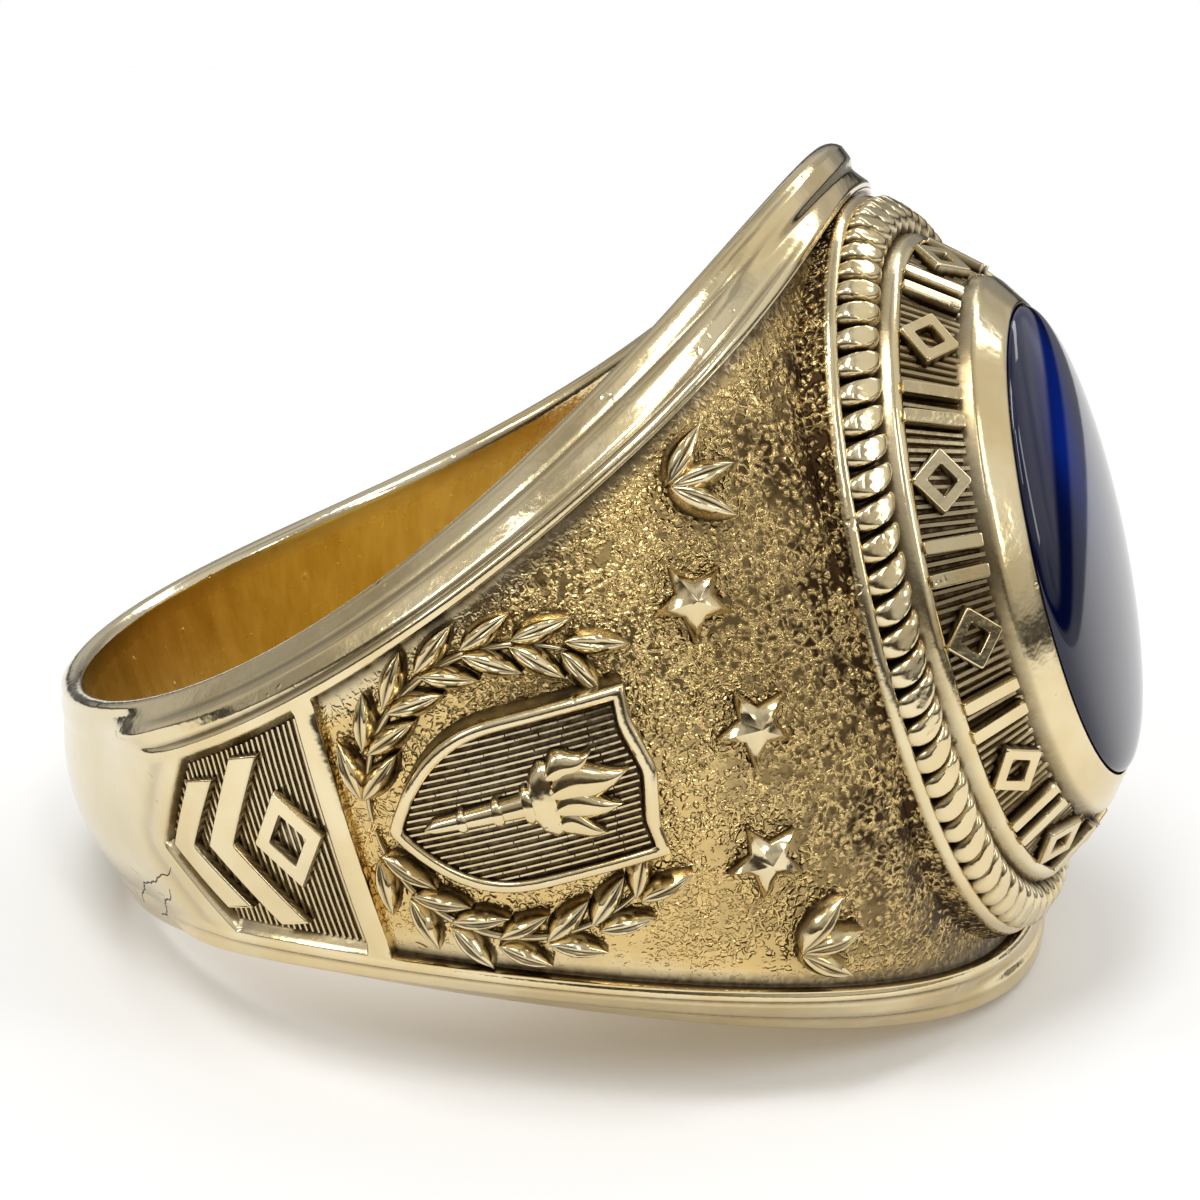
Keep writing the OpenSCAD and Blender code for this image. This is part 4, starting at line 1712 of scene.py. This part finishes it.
@dataclass
class Greenery:
    """Laurel leaves, their stems and the sprigs in the corners."""

    panel: Panel
    pairs: int = 7
    leaf_half: float = 0.64
    leaf_w: float = 0.27
    leaf_rise: float = 0.5
    leaf_rows: int = 15
    leaf_cols: int = 13
    wreath_r: float = 3.2
    stem_r: float = 0.11

    def leaf(self) -> Shape:
        """One leaf: x along it, z outwards, with a sunk midrib.

        Returns:
            The shape.
        """
        rows, cols = self.leaf_rows, self.leaf_cols
        u = np.linspace(0, 1, rows)
        v = np.linspace(-1, 1, cols)
        half = self.leaf_w * np.sin(np.pi * u**0.85) ** 0.75 + 0.012
        x = (2 * u - 1)[:, None] * self.leaf_half + 0 * v
        y = half[:, None] * v
        crown = 0.45 + 0.55 * np.sin(np.pi * np.clip(u, 0.04, 0.96))
        arch = (1 - np.abs(v) ** 2.4)[None, :] * crown[:, None]
        rib = 0.09 * np.exp(-((v / 0.16) ** 2))[None, :] * np.sin(np.pi * u)[:, None]
        z = 0.1 + (self.leaf_rise - 0.1) * arch - rib
        top = np.stack([x, y, z], axis=-1)
        grime = 0.75 * np.exp(-((v / 0.14) ** 2))[None, :] + 0.9 * np.abs(v)[None, :] ** 6 + 0 * u[:, None]
        low = top.copy()
        low[..., 2] = -0.28
        edge = [(i, 0) for i in range(rows)] + [(rows - 1, j) for j in range(1, cols)]
        edge += [(i, cols - 1) for i in range(rows - 2, -1, -1)] + [(0, j) for j in range(cols - 2, 0, -1)]
        face = grid_shape(top, marks(np.clip(grime, 0, 1)), wrap_cols=False).turned()
        number = len(face.points)
        ring = [i * cols + j for i, j in edge]
        foot = np.array([low[i, j] for i, j in edge])
        count = len(edge)
        skirt = [(ring[k], number + k, number + (k + 1) % count, ring[(k + 1) % count]) for k in range(count)]
        base = tuple(number + k for k in range(count))
        points = np.concatenate([face.points, foot])
        kept = np.concatenate([face.marks, marks(np.ones(count))])
        return Shape(points, [*face.faces, *skirt, base[::-1]], kept)

    def wreath(self) -> Stamps:
        """Places of the leaves round the shield.

        Returns:
            The places.
        """
        x, y, turn = [], [], []
        for k in range(self.pairs):
            for out in (-1, 1):
                for branch in (-1, 1):
                    a = -68 + k * 108 / (self.pairs - 1)
                    r = self.wreath_r + out * 0.34
                    x.append(branch * r * cosd(a))
                    y.append((r + 0.1) * sind(a) - 0.1)
                    turn.append(90 - branch * (-a + out * 26))
        return self.panel.frame(x, y, turn, 0.0, np.ones((len(x), 3)))

    def sprigs(self) -> Stamps:
        """Places of the leaves in the corners beside the head.

        Returns:
            The places.
        """
        x, y, turn = [], [], []
        for a in (-42, 0, 42):
            for branch in (-1, 1):
                x.append(branch * (5.2 + 0.75 * sind(a)))
                y.append(4.6 + 0.75 * cosd(a))
                turn.append(90 - branch * a)
        return self.panel.frame(x, y, turn, 0.0, np.full((len(x), 3), 1.16))

    def stems(self) -> Shape:
        """The stems that carry the wreath's leaves.

        Returns:
            Their shape.
        """
        parts = []
        turn = np.linspace(0, 360, 10, endpoint=False)
        for branch in (-1, 1):
            rings = []
            for a, taper in zip(np.linspace(-88, 36, 48), np.sin(np.pi * np.linspace(0.05, 0.97, 48)) ** 0.5):
                r = self.wreath_r + self.stem_r * taper * cosd(turn)
                h = 0.06 + self.stem_r * taper * 1.3 * sind(turn)
                rings.append(self.panel.point(branch * r * cosd(a), (r + 0.1) * sind(a) - 0.1, h))
            stem = capped_rings(rings, np.full(len(rings), 0.25))
            parts.append(stem if branch * self.panel.side.value > 0 else stem.turned())
        return Shape.join(parts)


@dataclass
class Stars:
    """Three five-pointed stars in an arc between the shield and the head."""

    panel: Panel
    reach: float = 0.88
    waist: float = 0.46
    rise: float = 0.48
    places: tuple[float, ...] = (-2.9, 0.0, 2.9)

    def star(self) -> Shape:
        """One star with ridges to its points.

        Returns:
            The shape.
        """
        turn = 90 + 36 * np.arange(10)
        reach = np.where(np.arange(10) % 2 == 0, self.reach, self.reach * self.waist)
        line = np.column_stack([reach * cosd(turn), reach * sind(turn)])
        steps = ((1.05, -0.3), (1.02, 0.04), (1.0, 0.17), (0.93, 0.23), (0.05, self.rise))
        return capped_rings([plate_ring(line, size, h) for size, h in steps], (1, 1, 0.4, 0.05, 0))

    def stamps(self) -> Stamps:
        """Places of the stars."""
        x = np.array(self.places)
        return self.panel.frame(x, 4.75 - 0.05 * x * x, np.zeros(len(x)), 0.0, np.ones((len(x), 3)))


@dataclass
class PointedPanel:
    """Raised work of the panel behind the bar: a lozenge over two chevrons on hatched ground."""

    panel: Panel
    half_bar: float = 0.37
    hatch_step: float = 0.155
    piece_run: float = 0.4

    def chevron(self, tip: float, wide: float, high: float) -> Shape:
        """A chevron that points to the back of the ring.

        Args:
            tip: where its tip lies along the panel.
            wide: its half width.
            high: how far its arms reach from the tip.

        Returns:
            The shape.
        """
        line = resample(np.array([(-wide, tip + high), (0, tip), (wide, tip + high)]), 41)
        thick = np.array([0, self.half_bar])
        return Figures(self.panel).strip(np.concatenate([line - thick, line[::-1] + thick]), 0.29, 0.045)

    def lozenge(self) -> Shape:
        """A lozenge with a sunk middle.

        Returns:
            The shape.
        """
        centre = np.array([0, -1.05])
        line = rounded([(1.12, -1.05), (0, -0.15), (-1.12, -1.05), (0, -1.95)], 0.94, 5)
        figures = Figures(self.panel)
        steps = (
            (-0.03, -0.3, 1.0), (0.0, 0.02, 1.0), (0.0, 0.25, 0.3), (0.04, 0.29, 0.0), (0.07, 0.29, 0.0),
            (0.42, 0.29, 0.0), (0.45, 0.29, 0.0), (0.48, 0.25, 0.4), (0.52, 0.05, 1.0), (0.95, 0.04, 0.8),
        )
        return figures.solid([(mix(line, centre, k), h, g) for k, h, g in steps])

    def hatching(self, band: Band) -> Stamps:
        """Places of the short pieces that make the hatching's lines across the ground.

        Args:
            band: the band, which says how wide the ground is.

        Returns:
            The places.
        """
        s = self.panel.sizes
        x, y, run = [], [], []
        end = (self.panel.at - s.point_end + 0.6) * s.panel_deg
        for line in np.arange(-0.12, end, -self.hatch_step):
            half = float(band.opening(self.panel.angle(line))) - band.pointed_wall
            count = max(1, round(2 * half / self.piece_run))
            for k in range(count):
                x.append(-half + (k + 0.5) * 2 * half / count)
                y.append(line)
                run.append(2 * half / count * 1.04)
        stretch = np.column_stack([run, np.ones(len(run)), np.ones(len(run))])
        return self.panel.frame(x, y, np.zeros(len(x)), 0.0, stretch)


@dataclass
class SidePanel:
    """Everything that stands on one face of the ring."""

    sizes: RingSizes
    side: Side
    shield_at: float = 71.0

    def build(self, shop: Workshop) -> None:
        """Makes the face's pieces.

        Args:
            shop: what finishes them.
        """
        name = self.side.name.lower()
        main = Panel(self.sizes, self.side, self.shield_at)
        ridge = OrnamentBand(self.sizes).ridge()
        crest = Crest(Figures(main))
        shop.gold_piece(f"crest_{name}", crest.build())
        shop.gold_stamps(f"field_{name}", ridge, crest.field_lines(), 0.05, 0.01, 15)
        greenery, stars = Greenery(main), Stars(main)
        shop.gold_piece(f"stems_{name}", greenery.stems())
        shop.gold_stamps(f"wreath_{name}", greenery.leaf(), greenery.wreath(), 0.05, 0.08, 11)
        shop.gold_stamps(f"sprigs_{name}", greenery.leaf(), greenery.sprigs(), 0.03, 0.05, 12)
        shop.gold_stamps(f"stars_{name}", stars.star(), stars.stamps(), 0.0, 0.04, 13)
        pointed = PointedPanel(Panel(self.sizes, self.side, self.sizes.main_end + self.sizes.bar_deg))
        parts = [pointed.lozenge(), pointed.chevron(-4.2, 1.5, 1.2), pointed.chevron(-2.95, 1.95, 1.35)]
        shop.gold_piece(f"chevrons_{name}", Shape.join(parts))
        shop.gold_stamps(f"hatching_{name}", ridge, pointed.hatching(Band(self.sizes)), 0.05, 0.02, 14)


@dataclass
class Stone:
    """The low domed oval stone."""

    sizes: RingSizes
    columns: int = 144
    dome_rows: int = 26

    def shape(self) -> Shape:
        """The stone as one closed solid.

        Returns:
            The shape.
        """
        s = self.sizes
        rise = np.linspace(0, 89.5, self.dome_rows)
        below = [(-s.stone_depth, s.stone_a - 0.55), (-0.35, s.stone_a - 0.12), (-0.02, s.stone_a - 0.01)]
        dome = [(s.dome_h * sind(a), s.stone_a * cosd(a)) for a in rise]
        turn = np.linspace(0, 360, self.columns, endpoint=False)
        rings = []
        for x, a in [*below, *dome]:
            wide = (s.stone_a - s.oval_slim) * a / s.stone_a
            rings.append(np.stack([s.seat_x + x + 0 * turn, wide * cosd(turn), a * sind(turn)], axis=-1))
        made = capped_rings(rings, np.zeros(len(rings)))
        # Painted light: where the bright blue streak and halo are painted on the stone.
        made.marks[:, list(Mark).index(Mark.GLOW)] = self.glow(made.points[:, 1:])
        return made

    def glow(self, across: Array) -> Array:
        """How much painted blue light goes into the stone's colour: a slanted streak over a faint halo.

        Args:
            across: places over the oval, its short axis first.

        Returns:
            The share of painted blue light at each place.
        """
        start, end = np.array([0.3, 4.8]), np.array([-3.3, 1.2])
        run = np.linalg.norm(end - start)
        way = (end - start) / run
        along = (across - start) @ way
        aside = (across - start) @ np.array([way[1], -way[0]])
        streak = np.exp(-((aside / 0.8) ** 2)) * ease(-1.0, 0.8, along) * ease(run - 0.4, run - 2.2, along)
        halo = np.exp(-(((across[:, 0] + 1.2) / 1.6) ** 2) - ((across[:, 1] - 1.9) / 1.9) ** 2)
        return np.clip(0.55 * streak + 0.32 * halo + 0.05, 0, 1)

    def build(self, shop: Workshop, finish: StoneFinish) -> None:
        """Makes the stone."""
        shop.finish_piece(self.shape().mesh("stone_dome"), finish.material(), "stone")


@dataclass(frozen=True)
class Softbox:
    """One soft studio light, aimed at the ring."""

    name: str
    azimuth: float
    elevation: float
    distance: float
    size: tuple[float, float]
    power: float
    colour: Colour = (1.0, 1.0, 1.0)

    def build(self, target: Vector) -> None:
        """Hangs the light.

        Args:
            target: what it is aimed at.
        """
        light = bpy.data.lights.new(self.name, "AREA")
        light.shape = "RECTANGLE"
        light.size, light.size_y = self.size
        light.energy = self.power
        light.color = self.colour
        hung = bpy.data.objects.new(self.name, light)
        bpy.context.scene.collection.objects.link(hung)
        a, e = math.radians(self.azimuth), math.radians(self.elevation)
        away = Vector((math.sin(a) * math.cos(e), -math.cos(a) * math.cos(e), math.sin(e)))
        hung.location = target + away * self.distance
        hung.rotation_euler = away.to_track_quat("Z", "Y").to_euler()


@dataclass(frozen=True)
class Room:
    """Colours of the room that the gold and the stone mirror."""

    wall: Colour = (0.56, 0.55, 0.53)
    dark_wall: Colour = (0.085, 0.068, 0.05)
    ceiling: Colour = (0.7, 0.7, 0.71)
    window: Colour = (0.95, 0.94, 0.92)
    window_way: Colour = (0.72, 0.35, 0.60)
    floor: Colour = (0.5, 0.49, 0.47)
    far_floor: Colour = (0.22, 0.22, 0.22)
    rim: Colour = (0.008, 0.008, 0.01)
    backdrop: Colour = (1.0, 1.0, 1.0)


@dataclass
class Studio:
    """Pale table, soft lights and the camera at the photograph's angle."""

    placement: Placement
    azimuth: float = 14.204
    elevation: float = 19.898
    roll: float = 3.432
    distance_mm: float = 78.053
    focal_px: float = 3215.3
    aim_right_mm: float = 2.135
    aim_up_mm: float = 1.167
    table_r: float = 0.105

    def camera(self) -> None:
        """Sets up the camera, aimed beside the middle of the finger hole."""
        a, e, r = (math.radians(v) for v in (self.azimuth, self.elevation, self.roll))
        back = Vector((math.sin(a) * math.cos(e), -math.cos(a) * math.cos(e), math.sin(e)))
        level = Vector((math.cos(a), math.sin(a), 0))
        plumb = back.cross(level)
        right = level * math.cos(r) + plumb * math.sin(r)
        up = plumb * math.cos(r) - level * math.sin(r)
        middle = self.placement.matrix() @ Vector((0, 0, 0))
        place = middle + (right * self.aim_right_mm + up * self.aim_up_mm + back * self.distance_mm) * MM
        data = bpy.data.cameras.new("camera")
        data.sensor_width = SENSOR_MM
        data.lens = self.focal_px / PHOTO_SIDE * SENSOR_MM
        data.clip_start, data.clip_end = 0.002, 20
        camera = bpy.data.objects.new("camera", data)
        bpy.context.scene.collection.objects.link(camera)
        turned = Matrix((right, up, back)).transposed().to_4x4()
        camera.matrix_world = Matrix.Translation(place) @ turned
        bpy.context.scene.camera = camera

    def table(self) -> None:
        """Lays the pale table top."""
        mesh = bpy.data.meshes.new("table")
        turn = np.linspace(0, 360, 96, endpoint=False)
        edge = self.table_r * np.column_stack([cosd(turn), sind(turn), 0 * turn])
        mesh.from_pydata(edge.tolist(), [], [tuple(range(len(turn)))])
        mesh.materials.append(FloorFinish().material())
        table = bpy.data.objects.new("table", mesh)
        bpy.context.scene.collection.objects.link(table)

    def sky(self) -> None:
        """A soft room: dark in front of the table, paler upwards, with a window on the right.

        The gold and the stone mirror it; behind the table it is a plain pale backdrop.
        """
        room = Room()
        world = bpy.data.worlds.new("room")
        world.use_nodes = True
        tree = Nodes(world.node_tree)
        where = tree.add("ShaderNodeTexCoord").outputs["Generated"]
        parts = tree.add("ShaderNodeSeparateXYZ")
        tree.link(where, parts.inputs[0])
        up = parts.outputs["Z"]
        pale = tree.rgb(room.wall)
        edge = tree.blend(tree.rgb(room.dark_wall), pale, tree.ramp(parts.outputs["Y"], -0.8, -0.25))
        low = tree.blend(edge, pale, tree.ramp(up, 0.2, 0.4))
        high = tree.blend(low, tree.rgb(room.ceiling), tree.ramp(up, 0.5, 0.85))
        patches = tree.ramp(tree.noise(where, 2.2, 2, 0.5), 0.4, 0.6)
        shade = tree.add("ShaderNodeVectorMath")
        shade.operation = "SCALE"
        tree.link(high, shade.inputs[0])
        tree.link(tree.math("MULTIPLY_ADD", patches, 0.5, 0.58), shade.inputs["Scale"])
        facing = tree.add("ShaderNodeVectorMath")
        facing.operation = "DOT_PRODUCT"
        tree.link(where, facing.inputs[0])
        facing.inputs[1].default_value = room.window_way
        window = tree.math("MULTIPLY", tree.ramp(facing.outputs["Value"], 0.84, 0.97), 0.75)
        walls = tree.blend(shade.outputs[0], tree.rgb(room.window), window)
        behind = tree.ramp(parts.outputs["Y"], 0.45, 0.85)
        under = tree.blend(tree.rgb(room.floor), tree.rgb(room.far_floor), behind)
        rim = tree.blend(under, tree.rgb(room.rim), tree.ramp(up, -0.065, -0.045))
        whole = tree.blend(rim, walls, tree.ramp(up, 0.015, 0.06))
        seen = tree.add("ShaderNodeLightPath").outputs["Is Camera Ray"]
        ground = world.node_tree.nodes["Background"]
        tree.link(tree.blend(whole, tree.rgb(room.backdrop), seen), ground.inputs["Color"])
        bpy.context.scene.world = world

    def build(self) -> None:
        """Sets the whole studio."""
        self.sky()
        self.table()
        self.camera()
        target = Vector((0, 0, 0.008))
        for light in (
            Softbox("overhead", -20, 74, 0.34, (0.085, 0.17), 0.41),
            Softbox("key", -52, 40, 0.30, (0.06, 0.1), 0.14),
            Softbox("front", 30, 52, 0.34, (0.04, 0.14), 0.11),
            Softbox("right", 84, 34, 0.30, (0.05, 0.18), 0.115),
            Softbox("back", 165, 42, 0.34, (0.26, 0.06), 0.17),
        ):
            light.build(target)
        bpy.context.scene.view_settings.view_transform = "Standard"


def main() -> None:
    """Builds the ring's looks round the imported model."""
    logging.basicConfig(level=logging.INFO, format="%(name)s: %(message)s")
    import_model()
    sizes = RingSizes()
    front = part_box("ring_body")[1].x
    placement = Placement(sizes, front)
    LOG.info("centre of the finger hole at x = %.4f mm", -placement.centre_x)
    shop = Workshop(placement)
    Band(sizes).build(shop)
    Cracks(Band(sizes)).build(shop)
    Head(sizes).build(shop)
    Rope(sizes).build(shop)
    OrnamentBand(sizes).build(shop)
    for side in Side:
        SidePanel(sizes, side).build(shop)
    Stone(sizes).build(shop, StoneFinish())
    Studio(placement).build()
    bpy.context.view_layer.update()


if __name__ == "__main__":
    main()
